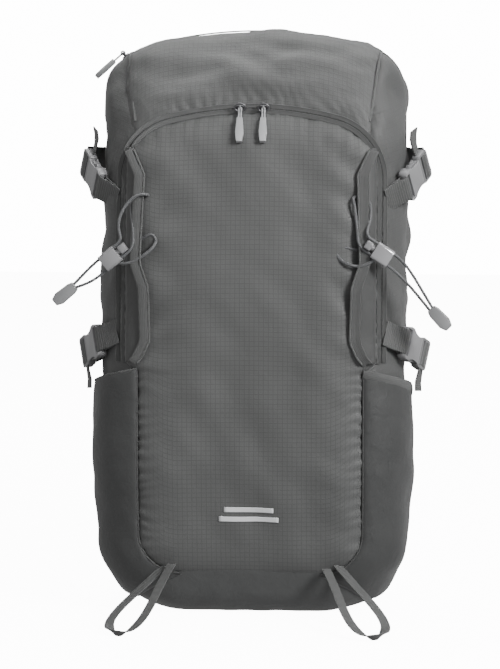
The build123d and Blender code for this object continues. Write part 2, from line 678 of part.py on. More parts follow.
def front_tab(plane):
    """A loop of webbing from the seam round the socket's bar."""
    inner = SOCKET_BAR_THICK / 2 + 0.3
    outer = inner + WEB_THICK
    wrap = SOCKET_START + SOCKET_BAR + 0.3
    section = Plane(origin=plane.origin, x_dir=plane.x_dir, z_dir=plane.x_dir.cross(plane.z_dir))
    drop = BUCKLE_STAND_OFF
    with BuildPart() as tab:
        with BuildSketch(section):
            with BuildLine():
                Polyline(
                    (wrap + WEB_THICK, outer),
                    (SOCKET_START - 8, outer),
                    (-TAB_END, 2 * WEB_THICK - drop),
                    (-TAB_END, 1.4 - drop),
                    (SOCKET_START - 7, -outer),
                    (wrap + WEB_THICK, -outer),
                    close=True,
                )
            make_face()
            with Locations(((wrap + SOCKET_START - 6) / 2, 0)):
                Rectangle(wrap - SOCKET_START + 6, 2 * inner, mode=Mode.SUBTRACT)
        extrude(amount=WEB_WIDTH / 2, both=True)
    return tab.part


def rear_strap(plane, side):
    """The webbing from the plug back to the side panel."""
    anchor = Vector(side * (HALF + WEB_THICK / 2 + CLEAR), STRAP_BACK_Y, along(plane, plug_end).Z)
    skew = radians((anchor - along(plane, plug_end)).get_angle(plane.x_dir))
    start = along(plane, plug_end + CLEAR + WEB_WIDTH / 2 * sin(skew))
    run = anchor - start
    across = plane.y_dir - run * (plane.y_dir.dot(run) / run.dot(run))
    flat = Plane(origin=start, x_dir=run, z_dir=run.cross(across))
    with BuildPart(flat) as strap:
        with Locations((run.length / 2, 0, 0)):
            Box(run.length, WEB_WIDTH, WEB_THICK)
    return strap.part


tabs, sockets = [], []
for level, (height, tilt) in BUCKLES.items():
    for name, side in SIDES.items():
        seat = corner_plane(side, height, BUCKLE_ROUND, BUCKLE_STAND_OFF, tilt)
        tabs.append(front_tab(seat))
        sockets.append(buckle_socket(seat))
        save(f"buckle_plug_{level}_{name}", buckle_plug(seat))
        save(f"compression_strap_{level}_{name}", rear_strap(seat, side))
        print(level, name, "buckle axis", seat.x_dir, "middle", along(seat, socket_end))
save("compression_tabs", Compound(children=tabs))
save("buckle_sockets", Compound(children=sockets))


# ---- gear loops and haul loop -------------------------------------------------------------------
for name, side in SIDES.items():
    root = Vector(side * LOOP_ROOT[0], LOOP_ROOT[1], LOOP_ROOT[2])
    tip = Vector(side * LOOP_TIP[0], LOOP_TIP[1], LOOP_TIP[2])
    run = tip - root
    level_across = Vector(0, 0, 1).cross(run)
    flat = Plane(origin=root, x_dir=run, z_dir=run.cross(level_across))
    end = run.length
    with BuildPart() as gear_loop:
        with BuildSketch(flat):
            with BuildLine():
                Polyline(
                    (LOOP_START, LOOP_WEB_WIDTH * 0.9),
                    (end - 22, LOOP_HALF),
                    (end - 6, LOOP_HALF * 0.7),
                    (end, 0),
                    (end - 6, -LOOP_HALF * 0.7),
                    (end - 22, -LOOP_HALF),
                    (LOOP_START, -LOOP_WEB_WIDTH * 0.9),
                    close=True,
                )
            make_face()
            with BuildLine():
                Polyline(
                    (LOOP_START + 22, 0),
                    (end - 24, LOOP_HALF - LOOP_WEB_WIDTH),
                    (end - LOOP_WEB_WIDTH - 2, (LOOP_HALF - LOOP_WEB_WIDTH) * 0.6),
                    (end - LOOP_WEB_WIDTH - 2, -(LOOP_HALF - LOOP_WEB_WIDTH) * 0.6),
                    (end - 24, -(LOOP_HALF - LOOP_WEB_WIDTH)),
                    close=True,
                )
            make_face(mode=Mode.SUBTRACT)
        extrude(amount=LOOP_WEB_THICK / 2, both=True)
    save(f"gear_loop_{name}", gear_loop.part)
    print("gear loop", name, "root", root, "axis", flat.y_dir)

with BuildPart() as haul_loop:
    with BuildSketch(Plane.XZ.offset(-(BACK_Y + 1.0))):
        with BuildLine():
            Line((-HAUL_HALF, HAUL_FOOT), (HAUL_HALF, HAUL_FOOT))
            ThreePointArc((HAUL_HALF, HAUL_FOOT), (0, HAUL_FOOT + HAUL_RISE), (-HAUL_HALF, HAUL_FOOT))
        make_face()
        with BuildLine():
            Line((-HAUL_HALF + 3, HAUL_FOOT), (HAUL_HALF - 3, HAUL_FOOT))
            ThreePointArc(
                (HAUL_HALF - 3, HAUL_FOOT), (0, HAUL_FOOT + HAUL_RISE - 2.4), (-HAUL_HALF + 3, HAUL_FOOT)
            )
        make_face(mode=Mode.SUBTRACT)
    extrude(amount=-HAUL_WIDTH)
save("haul_loop", haul_loop.part)


# ---- back pads and harness ----------------------------------------------------------------------
with BuildPart() as back_pads:
    with BuildSketch(Plane.XZ.offset(-(BACK_Y + CLEAR))):
        for s in SIDES.values():
            with Locations((s * (PAD_HALF_GAP + PAD_WIDTH / 2), (PAD_FOOT + PAD_TOP) / 2)):
                RectangleRounded(PAD_WIDTH, PAD_TOP - PAD_FOOT, 20)
        with Locations((0, (LUMBAR_FOOT + LUMBAR_TOP) / 2)):
            RectangleRounded(2 * LUMBAR_HALF, LUMBAR_TOP - LUMBAR_FOOT, 24)
    extrude(amount=-PAD_THICK)
    chamfer(back_pads.faces().sort_by(Axis.Y)[-1].edges(), 4.0)
save("back_pads", back_pads.part)

strap_y0 = BACK_Y + 2.0
strap_mid = (STRAP_TOP + STRAP_FOOT) / 2
bow_y = PAD_FACE + STRAP_BOW
foot_y = PAD_FACE + 6
for name, side in SIDES.items():
    with BuildPart() as shoulder_strap:
        with BuildSketch(Plane.YZ) as profile:
            with BuildLine():
                ThreePointArc((strap_y0, STRAP_TOP), (bow_y, strap_mid), (foot_y, STRAP_FOOT))
                Line((foot_y, STRAP_FOOT), (foot_y + STRAP_THICK, STRAP_FOOT))
                ThreePointArc(
                    (foot_y + STRAP_THICK, STRAP_FOOT),
                    (bow_y + STRAP_THICK, strap_mid),
                    (strap_y0 + 4, STRAP_TOP + STRAP_THICK),
                )
                Line((strap_y0 + 4, STRAP_TOP + STRAP_THICK), (strap_y0, STRAP_TOP))
            make_face()
        extrude(amount=HALF, both=True)
        with BuildSketch(Plane.XZ):
            with BuildLine():
                rows = [
                    (STRAP_TOP + 20, STRAP_TOP_X, 27),
                    (STRAP_TOP - 60, STRAP_TOP_X + 6, 28),
                    (strap_mid, STRAP_TOP_X + 18, 29),
                    (STRAP_FOOT + 60, STRAP_TOP_X + 26, 26),
                    (STRAP_FOOT - 10, STRAP_TOP_X + 32, 19),
                ]
                left_edge = Spline(*[(side * (x - half), z) for z, x, half in rows])
                right_edge = Spline(*[(side * (x + half), z) for z, x, half in reversed(rows)])
                Line(left_edge @ 1, right_edge @ 0)
                Line(right_edge @ 1, left_edge @ 0)
            make_face()
        extrude(amount=-FAR, mode=Mode.INTERSECT)
    save(f"shoulder_strap_{name}", shoulder_strap.part)

ladder_x = STRAP_TOP_X + 32
ladder_foot = STRAP_FOOT - 0.4 - LADDER_LENGTH
with BuildPart() as ladder_locks:
    with BuildSketch(Plane.XZ.offset(-(foot_y + 2))):
        with Locations([(s * ladder_x, STRAP_FOOT - 0.4 - LADDER_LENGTH / 2) for s in SIDES.values()]):
            RectangleRounded(LADDER_WIDTH, LADDER_LENGTH, 3)
            for dz in (-6, 2, 10):
                with Locations((0, dz)):
                    Rectangle(LADDER_WIDTH - 6, 4, mode=Mode.SUBTRACT)
    extrude(amount=-5)
save("ladder_locks", ladder_locks.part)

with BuildPart() as harness_webbing:
    for s in SIDES.values():
        top = Vector(s * ladder_x, foot_y + 4.5, ladder_foot - 5.0)
        foot = Vector(s * HARNESS_FOOT_X, BACK_Y + WEB_THICK, HARNESS_FOOT)
        run = foot - top
        across = Vector(1, 0, 0) - run * (run.X / run.dot(run))
        with BuildSketch(Plane(origin=top, x_dir=across, z_dir=run)):
            Rectangle(20, WEB_THICK)
        extrude(amount=run.length)
save("harness_webbing", harness_webbing.part)

bow_turn = ThreePointArc(
    (0, foot_y + STRAP_THICK, STRAP_FOOT),
    (0, bow_y + STRAP_THICK, strap_mid),
    (0, strap_y0 + 4, STRAP_TOP + STRAP_THICK),
)
bow_centre = bow_turn.arc_center
sternum_y = bow_centre.Y + sqrt(bow_turn.radius**2 - (STERNUM_HEIGHT - bow_centre.Z) ** 2)
sternum_plane = Plane(origin=(0, sternum_y + 5.0, STERNUM_HEIGHT), x_dir=(1, 0, 0), z_dir=(0, 1, 0))
web_start = STRAP_TOP_X - 2.0
for name, side, inner_end in (("left", LEFT, STERNUM_SOCKET), ("right", RIGHT, STERNUM_PLUG)):
    with BuildPart(sternum_plane) as sternum_web:
        with Locations((side * (web_start + inner_end + CLEAR) / 2, 0, 0)):
            Box(web_start - inner_end - CLEAR, STERNUM_WIDTH, WEB_THICK)
        with Locations((side * (web_start + 8), 0, -1.6)):
            Box(16, STERNUM_WIDTH, WEB_THICK)
    save(f"sternum_web_{name}", sternum_web.part)

with BuildPart(sternum_plane) as sternum_socket:
    with Locations((-STERNUM_SOCKET / 2, 0, 0)):
        Box(STERNUM_SOCKET, STERNUM_WIDTH + 5, 7)
    fillet(sternum_socket.edges().filter_by(Axis(sternum_plane.origin, sternum_plane.z_dir)), 3.0)
    with Locations((-STERNUM_SOCKET / 2 + 4, 0, 0)):
        Box(STERNUM_SOCKET - 6, STERNUM_WIDTH + 8, 3.6, mode=Mode.SUBTRACT)
save("sternum_buckle_socket", sternum_socket.part)

with BuildPart(sternum_plane) as sternum_plug:
    with Locations(((STERNUM_PLUG + 0.6) / 2, 0, 0)):
        Box(STERNUM_PLUG - 0.6, STERNUM_WIDTH + 4, 6)
    fillet(sternum_plug.edges().filter_by(Axis(sternum_plane.origin, sternum_plane.z_dir)), 3.0)
    with Locations([(-5.0, s * (STERNUM_WIDTH / 2 - 1), 0) for s in (-1, 0, 1)]):
        Box(13.0, 4, 2.8)
save("sternum_buckle_plug", sternum_plug.part)


# ---- hip belt -----------------------------------------------------------------------------------
belt_y = BACK_Y + CLEAR + 6.0
for name, side in SIDES.items():
    with BuildPart() as hip_wing:
        with BuildSketch(Plane.XY.offset(BELT_FOOT)):
            with BuildLine():
                ThreePointArc(
                    (side * BELT_HINGE_X, belt_y),
                    (side * (BELT_HINGE_X - 4), belt_y + 34),
                    (side * (BELT_HINGE_X - 42), belt_y + 62),
                )
                Line(
                    (side * (BELT_HINGE_X - 42), belt_y + 62),
                    (side * (BELT_HINGE_X - 40), belt_y + 62 + BELT_THICK),
                )
                ThreePointArc(
                    (side * (BELT_HINGE_X - 40), belt_y + 62 + BELT_THICK),
                    (side * (BELT_HINGE_X + 5), belt_y + 38),
                    (side * (BELT_HINGE_X + BELT_THICK), belt_y),
                )
                Line((side * (BELT_HINGE_X + BELT_THICK), belt_y), (side * BELT_HINGE_X, belt_y))
            make_face()
        extrude(amount=BELT_HEIGHT)
        with BuildSketch(Plane.XY.offset(BELT_FOOT + (BELT_HEIGHT - WEB_WIDTH) / 2)):
            with BuildLine():
                Polyline(
                    (side * (BELT_HINGE_X - 38), belt_y + 65),
                    (side * BELT_BUCKLE_X, belt_y + 72),
                    (side * BELT_BUCKLE_X, belt_y + 72 + WEB_THICK),
                    (side * (BELT_HINGE_X - 38), belt_y + 65 + WEB_THICK),
                    close=True,
                )
            make_face()
        extrude(amount=WEB_WIDTH)
    save(f"hip_wing_{name}", hip_wing.part)

belt_middle = BELT_FOOT + BELT_HEIGHT / 2
for name, side in SIDES.items():
    seat = Plane(
        origin=(side * (BELT_BUCKLE_X - CLEAR), belt_y + 72.8, belt_middle),
        x_dir=(-side, 0, 0),
        z_dir=(0, 1, 0),
    )
    with BuildPart(seat) as belt_half:
        with Locations((BELT_BUCKLE_LENGTH / 2, 0, 0)):
            Box(BELT_BUCKLE_LENGTH, BUCKLE_WIDTH, BUCKLE_THICK)
        fillet(belt_half.edges().filter_by(Axis(seat.origin, seat.z_dir)), 4.0)
        with Locations((4.5, 0, 0)):
            Box(SLOT_GAP, slot_width, BUCKLE_THICK, mode=Mode.SUBTRACT)
        if side == LEFT:
            with Locations((BELT_BUCKLE_LENGTH, 0, 0)):
                Box(16, slot_width, BUCKLE_THICK - 2 * BUCKLE_PLATE, mode=Mode.SUBTRACT)
        else:
            with Locations([(BELT_BUCKLE_LENGTH + 5, s * 10, 0) for s in (-1, 0, 1)]):
                Box(14, PRONG_WIDTH, BUCKLE_THICK - 2 * BUCKLE_PLATE - 1)
    save("belt_buckle_socket" if side == LEFT else "belt_buckle_plug", belt_half.part)


# ---- elastic cords and their locks --------------------------------------------------------------
def cord_radii(points):
    """The radius of each corner of a cord: as large as its two runs allow."""
    radii = []
    for n in range(1, len(points) - 1):
        back = Vector(points[n]) - Vector(points[n - 1])
        on = Vector(points[n + 1]) - Vector(points[n])
        turned = radians(back.get_angle(on))
        radii.append(0.45 * min(back.length, on.length) / tan(turned / 2))
    return radii


def cord_tube(label, points, diameter):
    """A cord as a tube of straight runs and tangent arcs."""
    radii = cord_radii(points)
    with BuildPart() as tube:
        with BuildLine() as route:
            FilletPolyline(*points, radius=radii)
        with BuildSketch(Plane(origin=route.line @ 0, z_dir=route.line % 0)):
            Circle(diameter / 2)
        sweep()
    length = sum(edge.length for edge in route.edges())
    ideal = pi * diameter**2 / 4 * length
    print(label, "length", round(length, 1), "radii", [round(r, 1) for r in radii],
          "volume ratio", round(tube.part.volume / ideal, 4))
    save(label, tube.part)


def lock_frame(side):
    """The plane of a cord lock: x runs from its button to its outlet, z points forward."""
    x, y, z, slope = LOCK_PLACES[side]
    return Plane(origin=(x, y, z), x_dir=(side * cos(radians(slope)), 0, -sin(radians(slope))), z_dir=(0, -1, 0))


locks, springs, caps = [], [], []
for name, side in SIDES.items():
    seat = lock_frame(side)
    end = LOCK_LENGTH / 2
    with BuildPart(seat) as lock:
        Box(LOCK_LENGTH, LOCK_WIDTH, LOCK_THICK)
        fillet(lock.edges().filter_by(Axis(seat.origin, seat.x_dir)), 3.0)
        with Locations((-end + LOCK_BORE_DEPTH / 2, 0, 0)):
            Cylinder(LOCK_BORE, LOCK_BORE_DEPTH, rotation=(0, 90, 0), mode=Mode.SUBTRACT)
        with Locations([(0, s * CHANNEL_OFFSET, 0) for s in (-1, 1)]):
            Cylinder(CHANNEL_RADIUS, LOCK_LENGTH + 2, rotation=(0, 90, 0), mode=Mode.SUBTRACT)
    locks.append(lock.part)
    head_start = end + BUTTON_TRAVEL + CLEAR
    with BuildPart(seat) as plunger:
        with Locations((-head_start - BUTTON_HEIGHT / 2, 0, 0)):
            Box(BUTTON_HEIGHT, BUTTON_SIZE, BUTTON_SIZE)
        fillet(plunger.edges().filter_by(Axis(seat.origin, seat.x_dir)), 2.0)
        with Locations((-(head_start + end - STEM_DEPTH) / 2, 0, 0)):
            Cylinder(STEM_RADIUS, head_start - end + STEM_DEPTH, rotation=(0, 90, 0))
    save(f"cord_lock_button_{name}", plunger.part)
    print("button", name, "axis", seat.x_dir)
    spring_length = LOCK_BORE_DEPTH - STEM_DEPTH - 2 * CLEAR
    coils = 3
    foot = along(seat, -end + STEM_DEPTH + CLEAR + SPRING_WIRE / 2)
    with BuildPart() as spring:
        with BuildLine() as coil:
            Helix((spring_length - SPRING_WIRE) / coils, spring_length - SPRING_WIRE, SPRING_RADIUS,
                  center=foot, direction=seat.x_dir)
        with BuildSketch(Plane(origin=coil.line @ 0, z_dir=coil.line % 0)):
            Circle(SPRING_WIRE / 2)
        sweep()
    springs.append(spring.part)
    cap_point, cap_slope = CAP_PLACES[side]
    cap_plane = Plane(
        origin=cap_point,
        x_dir=(side * cos(radians(cap_slope)), 0, -sin(radians(cap_slope))),
        z_dir=(0, -1, 0),
    )
    with BuildPart(cap_plane) as cap:
        with BuildSketch(cap_plane.offset(-CAP_THICK / 2)):
            with BuildLine():
                Polyline(
                    (0, CAP_WIDTH * 0.34),
                    (CAP_LENGTH * 0.2, CAP_WIDTH * 0.46),
                    (CAP_LENGTH * 0.75, CAP_WIDTH / 2),
                    (CAP_LENGTH, CAP_WIDTH * 0.3),
                    (CAP_LENGTH, -CAP_WIDTH * 0.3),
                    (CAP_LENGTH * 0.75, -CAP_WIDTH / 2),
                    (CAP_LENGTH * 0.2, -CAP_WIDTH * 0.46),
                    (0, -CAP_WIDTH * 0.34),
                    close=True,
                )
            make_face()
        extrude(amount=CAP_THICK)
    caps.append(cap.part)
save("cord_locks", Compound(children=locks))
save("lock_springs", Compound(children=springs))
save("cord_end_caps", Compound(children=caps))

for name, side in SIDES.items():
    cord_tube(f"elastic_cord_{name}", CORD_ROUTES[side], CORD_DIAMETER)
    cord_tube(f"lock_tether_{name}", TETHER_ROUTES[side], CORD_DIAMETER)
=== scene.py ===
"""The looks of a 30 litre hiking daypack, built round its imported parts. Metres, +Z up, front at -Y."""

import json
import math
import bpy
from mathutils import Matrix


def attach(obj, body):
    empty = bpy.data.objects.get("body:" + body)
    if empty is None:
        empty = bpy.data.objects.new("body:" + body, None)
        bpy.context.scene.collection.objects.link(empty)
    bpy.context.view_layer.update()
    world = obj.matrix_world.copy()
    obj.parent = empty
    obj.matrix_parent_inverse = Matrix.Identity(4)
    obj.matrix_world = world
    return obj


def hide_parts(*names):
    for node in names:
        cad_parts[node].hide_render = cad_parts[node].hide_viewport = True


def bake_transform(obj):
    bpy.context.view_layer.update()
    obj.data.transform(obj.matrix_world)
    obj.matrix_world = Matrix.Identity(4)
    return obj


bl_info = {
    "name": "Hiking daypack",
    "version": (1, 0, 0),
    "blender": (4, 5, 0),
    "location": "View3D > Sidebar > Daypack",
    "description": "Builds the fabric, webbing, cords and hardware of a hiking daypack",
    "category": "Object",
}

import bmesh
import bpy
import numpy as np
from bpy.props import FloatProperty, FloatVectorProperty, PointerProperty
from mathutils import Vector, noise
from mathutils.bvhtree import BVHTree

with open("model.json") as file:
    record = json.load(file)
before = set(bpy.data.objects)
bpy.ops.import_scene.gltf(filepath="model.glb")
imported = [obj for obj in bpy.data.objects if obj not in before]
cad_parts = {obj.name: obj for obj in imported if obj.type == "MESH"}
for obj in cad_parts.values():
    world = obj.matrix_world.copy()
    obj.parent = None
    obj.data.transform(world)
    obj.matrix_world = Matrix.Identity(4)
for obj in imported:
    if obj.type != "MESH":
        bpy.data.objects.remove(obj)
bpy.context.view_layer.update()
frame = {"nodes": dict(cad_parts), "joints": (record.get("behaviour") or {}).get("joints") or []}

SIDES = {"left": -1, "right": 1}
SHELL_NODES = (
    "base_panel", "front_lower_panel", "front_flap", "top_panel", "crown_panel", "back_panel",
    "side_panel_left", "side_panel_right",
)
GRID = 0.0028  # spacing of the points of a fabric panel
FLAP_FOOT = 0.2584
FLAP_HALF = 0.1275
SEAM_HALF = 0.111
BASE_SEAM = 0.048
FOOT_CORNER = 0.042  # radius of the lower corners of the front panel
MOUTH_SLOPE = 0.34  # fall of a pocket mouth towards the back
BUCKLE_TURN = math.radians(62)  # of a buckle round the front corner, from the front towards the side
PLUG_START = 0.0136  # from the corner of the bag to the tips of a plug's prongs, along its strap
CORE = (0.0, 0.0, 0.30)  # a point inside the bag, which every panel faces away from
state = {"form": None}


# ---- small tools --------------------------------------------------------------------------------
def link(name, mesh):
    """A new object at the origin with that mesh."""
    made = bpy.data.objects.new(name.replace(" ", "-"), mesh)
    bpy.context.scene.collection.objects.link(made)
    return made


def mesh_from(name, bm, smooth=True):
    """An object from a bmesh, shaded smooth."""
    mesh = bpy.data.meshes.new(name)
    bm.to_mesh(mesh)
    bm.free()
    if smooth:
        mesh.shade_smooth()
    return link(name, mesh)


def dress(obj, material, body=None):
    """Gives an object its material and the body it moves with."""
    obj.data.materials.clear()
    obj.data.materials.append(material)
    if body:
        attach(obj, body)
    return obj


def lerp(a, b, t):
    return a + (b - a) * t


def table(rows, key):
    """Straight-line reading of a short table of (key, value) pairs."""
    if key <= rows[0][0]:
        return rows[0][1]
    for low, high in zip(rows, rows[1:]):
        if key <= high[0]:
            return lerp(low[1], high[1], (key - low[0]) / (high[0] - low[0]))
    return rows[-1][1]


def wave(x, y, z, scale, seed=0.0):
    """Smooth noise between about -1 and 1 with lumps of that size."""
    return noise.noise(Vector((x / scale + seed, y / scale + 1.7 * seed, z / scale - seed)))


# ---- materials ----------------------------------------------------------------------------------
def group_shell(name, outputs, inputs=(("Vector", "NodeSocketVector"),)):
    tree = bpy.data.node_groups.new(name, "ShaderNodeTree")
    for label, kind in inputs:
        tree.interface.new_socket(label, in_out="INPUT", socket_type=kind)
    for label, kind in outputs:
        tree.interface.new_socket(label, in_out="OUTPUT", socket_type=kind)
    return tree, tree.nodes.new("NodeGroupInput"), tree.nodes.new("NodeGroupOutput")


def math_node(tree, kind, a, b=None, c=None, clamp=False):
    """A math node fed by sockets or constants; returns its result socket."""
    node = tree.nodes.new("ShaderNodeMath")
    node.operation = kind
    node.use_clamp = clamp
    for slot, value in zip(node.inputs, (a, b, c)):
        if value is None:
            continue
        if isinstance(value, (int, float)):
            slot.default_value = value
        else:
            tree.links.new(value, slot)
    return node.outputs[0]


def ripstop_group():
    """Fine plain weave with a thicker thread every few millimetres each way."""
    tree, inside, out = group_shell(
        "Ripstop weave",
        (("Grid", "NodeSocketFloat"), ("Weave", "NodeSocketFloat")),
        (("Vector", "NodeSocketVector"), ("Pitch", "NodeSocketFloat")),
    )
    parts = tree.nodes.new("ShaderNodeSeparateXYZ")
    tree.links.new(inside.outputs["Vector"], parts.inputs[0])
    lines = []
    for axis in (0, 1):
        turns = math_node(tree, "DIVIDE", parts.outputs[axis], inside.outputs["Pitch"])
        part = math_node(tree, "FRACT", turns)
        away = math_node(tree, "ABSOLUTE", math_node(tree, "SUBTRACT", part, 0.5))
        lines.append(math_node(tree, "GREATER_THAN", away, 0.40))
    grid = math_node(tree, "MAXIMUM", lines[0], lines[1])
    threads = []
    for axis in (0, 1):
        angle = math_node(tree, "MULTIPLY", parts.outputs[axis], 2 * math.pi / 0.0011)
        threads.append(math_node(tree, "SINE", angle))
    weave = math_node(tree, "MULTIPLY", threads[0], threads[1])
    tree.links.new(grid, out.inputs["Grid"])
    tree.links.new(weave, out.inputs["Weave"])
    return tree


def wear_group():
    """Broad and fine unevenness of dye and handling."""
    tree, inside, out = group_shell(
        "Cloth wear", (("Tone", "NodeSocketFloat"), ("Crease", "NodeSocketFloat"))
    )
    broad = tree.nodes.new("ShaderNodeTexNoise")
    broad.inputs["Scale"].default_value = 14.0
    broad.inputs["Detail"].default_value = 4.0
    fine = tree.nodes.new("ShaderNodeTexNoise")
    fine.inputs["Scale"].default_value = 70.0
    fine.inputs["Detail"].default_value = 5.0
    fine.inputs["Distortion"].default_value = 0.6
    tree.links.new(inside.outputs["Vector"], broad.inputs["Vector"])
    tree.links.new(inside.outputs["Vector"], fine.inputs["Vector"])
    tone = math_node(tree, "MULTIPLY_ADD", broad.outputs["Fac"], 0.28, 0.86)
    tree.links.new(tone, out.inputs["Tone"])
    tree.links.new(fine.outputs["Fac"], out.inputs["Crease"])
    return tree


def rib_group():
    """Cross ribs and edge threads of woven webbing; the vector's x runs along the tape."""
    tree, inside, out = group_shell(
        "Webbing ribs",
        (("Rib", "NodeSocketFloat"), ("Edge", "NodeSocketFloat")),
        (("Vector", "NodeSocketVector"), ("Pitch", "NodeSocketFloat")),
    )
    parts = tree.nodes.new("ShaderNodeSeparateXYZ")
    tree.links.new(inside.outputs["Vector"], parts.inputs[0])
    turns = math_node(tree, "DIVIDE", parts.outputs[0], inside.outputs["Pitch"])
    rib = math_node(tree, "SINE", math_node(tree, "MULTIPLY", turns, 2 * math.pi))
    thread = math_node(tree, "SINE", math_node(tree, "MULTIPLY", parts.outputs[1], 2 * math.pi / 0.0016))
    tree.links.new(math_node(tree, "MULTIPLY_ADD", rib, 0.5, 0.5), out.inputs["Rib"])
    tree.links.new(math_node(tree, "MULTIPLY_ADD", thread, 0.5, 0.5), out.inputs["Edge"])
    return tree


GROUPS = {}


def group(name):
    """A shared node group, made the first time it is asked for."""
    if name not in GROUPS:
        GROUPS[name] = {"ripstop": ripstop_group, "wear": wear_group, "rib": rib_group}[name]()
    return GROUPS[name]


def material_base(name, roughness, sheen=0.0, metallic=0.0):
    mat = bpy.data.materials.new(name)
    mat.use_nodes = True
    shader = mat.node_tree.nodes["Principled BSDF"]
    shader.inputs["Roughness"].default_value = roughness
    shader.inputs["Metallic"].default_value = metallic
    shader.inputs["Sheen Weight"].default_value = sheen
    return mat, mat.node_tree, shader


def shade(color, share):
    """The same colour, darker or lighter."""
    return tuple(share * c for c in color)


def tinted(tree, color, factor):
    """A colour multiplied by a value socket."""
    mix = tree.nodes.new("ShaderNodeVectorMath")
    mix.operation = "SCALE"
    mix.inputs[0].default_value = color
    tree.links.new(factor, mix.inputs["Scale"])
    return mix.outputs[0]


def bump(tree, shader, height, strength, distance):
    node = tree.nodes.new("ShaderNodeBump")
    node.inputs["Strength"].default_value = strength
    node.inputs["Distance"].default_value = distance
    tree.links.new(height, node.inputs["Height"])
    tree.links.new(node.outputs["Normal"], shader.inputs["Normal"])


def cloth_material(name, color, grid=0.0, pitch=0.0047, weave=0.35, rough=0.62, crease=0.5):
    """Woven nylon: ripstop grid where grid is above 0, plain weave, soft creases and wear."""
    mat, tree, shader = material_base(name, rough, sheen=0.12)
    uv = tree.nodes.new("ShaderNodeUVMap")
    place = tree.nodes.new("ShaderNodeTexCoord")
    rip = tree.nodes.new("ShaderNodeGroup")
    rip.node_tree = group("ripstop")
    rip.inputs["Pitch"].default_value = pitch
    tree.links.new(uv.outputs["UV"], rip.inputs["Vector"])
    wear = tree.nodes.new("ShaderNodeGroup")
    wear.node_tree = group("wear")
    tree.links.new(place.outputs["Object"], wear.inputs["Vector"])
    dark = math_node(tree, "MULTIPLY_ADD", rip.outputs["Grid"], -grid, 1.0)
    speck = math_node(tree, "MULTIPLY_ADD", rip.outputs["Weave"], 0.05 * weave, 1.0)
    factor = math_node(tree, "MULTIPLY", math_node(tree, "MULTIPLY", dark, speck), wear.outputs["Tone"])
    tree.links.new(tinted(tree, color, factor), shader.inputs["Base Color"])
    height = math_node(
        tree, "ADD",
        math_node(tree, "MULTIPLY_ADD", rip.outputs["Grid"], 0.25 * (grid > 0), 0.0),
        math_node(tree, "MULTIPLY_ADD", rip.outputs["Weave"], 0.10 * weave,
                  math_node(tree, "MULTIPLY", wear.outputs["Crease"], 2.2 * crease)),
    )
    bump(tree, shader, height, 0.55, 0.0009)
    return mat


def webbing_material(name, color, pitch=0.0024, rough=0.7):
    """Woven tape with cross ribs."""
    mat, tree, shader = material_base(name, rough, sheen=0.1)
    uv = tree.nodes.new("ShaderNodeUVMap")
    rib = tree.nodes.new("ShaderNodeGroup")
    rib.node_tree = group("rib")
    rib.inputs["Pitch"].default_value = pitch
    tree.links.new(uv.outputs["UV"], rib.inputs["Vector"])
    factor = math_node(tree, "MULTIPLY_ADD", rib.outputs["Rib"], 0.34,
                       math_node(tree, "MULTIPLY_ADD", rib.outputs["Edge"], 0.12, 0.72))
    tree.links.new(tinted(tree, color, factor), shader.inputs["Base Color"])
    height = math_node(tree, "MULTIPLY_ADD", rib.outputs["Edge"], 0.3, rib.outputs["Rib"])
    bump(tree, shader, height, 0.7, 0.0005)
    return mat


def plastic_material(name, color, rough=0.42, speck=0.10, metallic=0.0):
    """Moulded plastic or cast metal with a fine grain and rubbed patches."""
    mat, tree, shader = material_base(name, rough, metallic=metallic)
    place = tree.nodes.new("ShaderNodeTexCoord")
    grain = tree.nodes.new("ShaderNodeTexNoise")
    grain.inputs["Scale"].default_value = 900.0
    grain.inputs["Detail"].default_value = 3.0
    rub = tree.nodes.new("ShaderNodeTexNoise")
    rub.inputs["Scale"].default_value = 60.0
    tree.links.new(place.outputs["Object"], grain.inputs["Vector"])
    tree.links.new(place.outputs["Object"], rub.inputs["Vector"])
    factor = math_node(tree, "MULTIPLY_ADD", rub.outputs["Fac"], 2 * speck, 1.0 - speck)
    tree.links.new(tinted(tree, color, factor), shader.inputs["Base Color"])
    tree.links.new(math_node(tree, "MULTIPLY_ADD", rub.outputs["Fac"], 0.24, rough - 0.12),
                   shader.inputs["Roughness"])
    bump(tree, shader, grain.outputs["Fac"], 0.25, 0.0002)
    return mat


def mesh_material(name, color):
    """Open spacer mesh: small holes in rows over padding, darkened as painted shade."""
    mat, tree, shader = material_base(name, 0.85, sheen=0.25)
    place = tree.nodes.new("ShaderNodeTexCoord")
    holes = tree.nodes.new("ShaderNodeTexVoronoi")
    holes.inputs["Scale"].default_value = 330.0
    holes.inputs["Randomness"].default_value = 0.25
    tree.links.new(place.outputs["Object"], holes.inputs["Vector"])
    solid = math_node(tree, "MULTIPLY", holes.outputs["Distance"], 1.5, clamp=True)
    # Painted shade in the holes: the colour falls to 0.35 of the mesh colour at each hole's middle.
    factor = math_node(tree, "MULTIPLY_ADD", solid, 0.75, 0.35)
    tree.links.new(tinted(tree, color, factor), shader.inputs["Base Color"])
    bump(tree, shader, solid, 0.6, 0.0008)
    return mat


def cord_material(name, color):
    """Braided sheath: two sets of slanting threads along the cord."""
    mat, tree, shader = material_base(name, 0.6, sheen=0.15)
    uv = tree.nodes.new("ShaderNodeTexCoord")
    braid = tree.nodes.new("ShaderNodeTexVoronoi")
    braid.inputs["Scale"].default_value = 900.0
    braid.inputs["Randomness"].default_value = 0.35
    tree.links.new(uv.outputs["Object"], braid.inputs["Vector"])
    factor = math_node(tree, "MULTIPLY_ADD", braid.outputs["Distance"], 0.8, 0.6)
    tree.links.new(tinted(tree, color, factor), shader.inputs["Base Color"])
    bump(tree, shader, braid.outputs["Distance"], 0.5, 0.0004)
    return mat


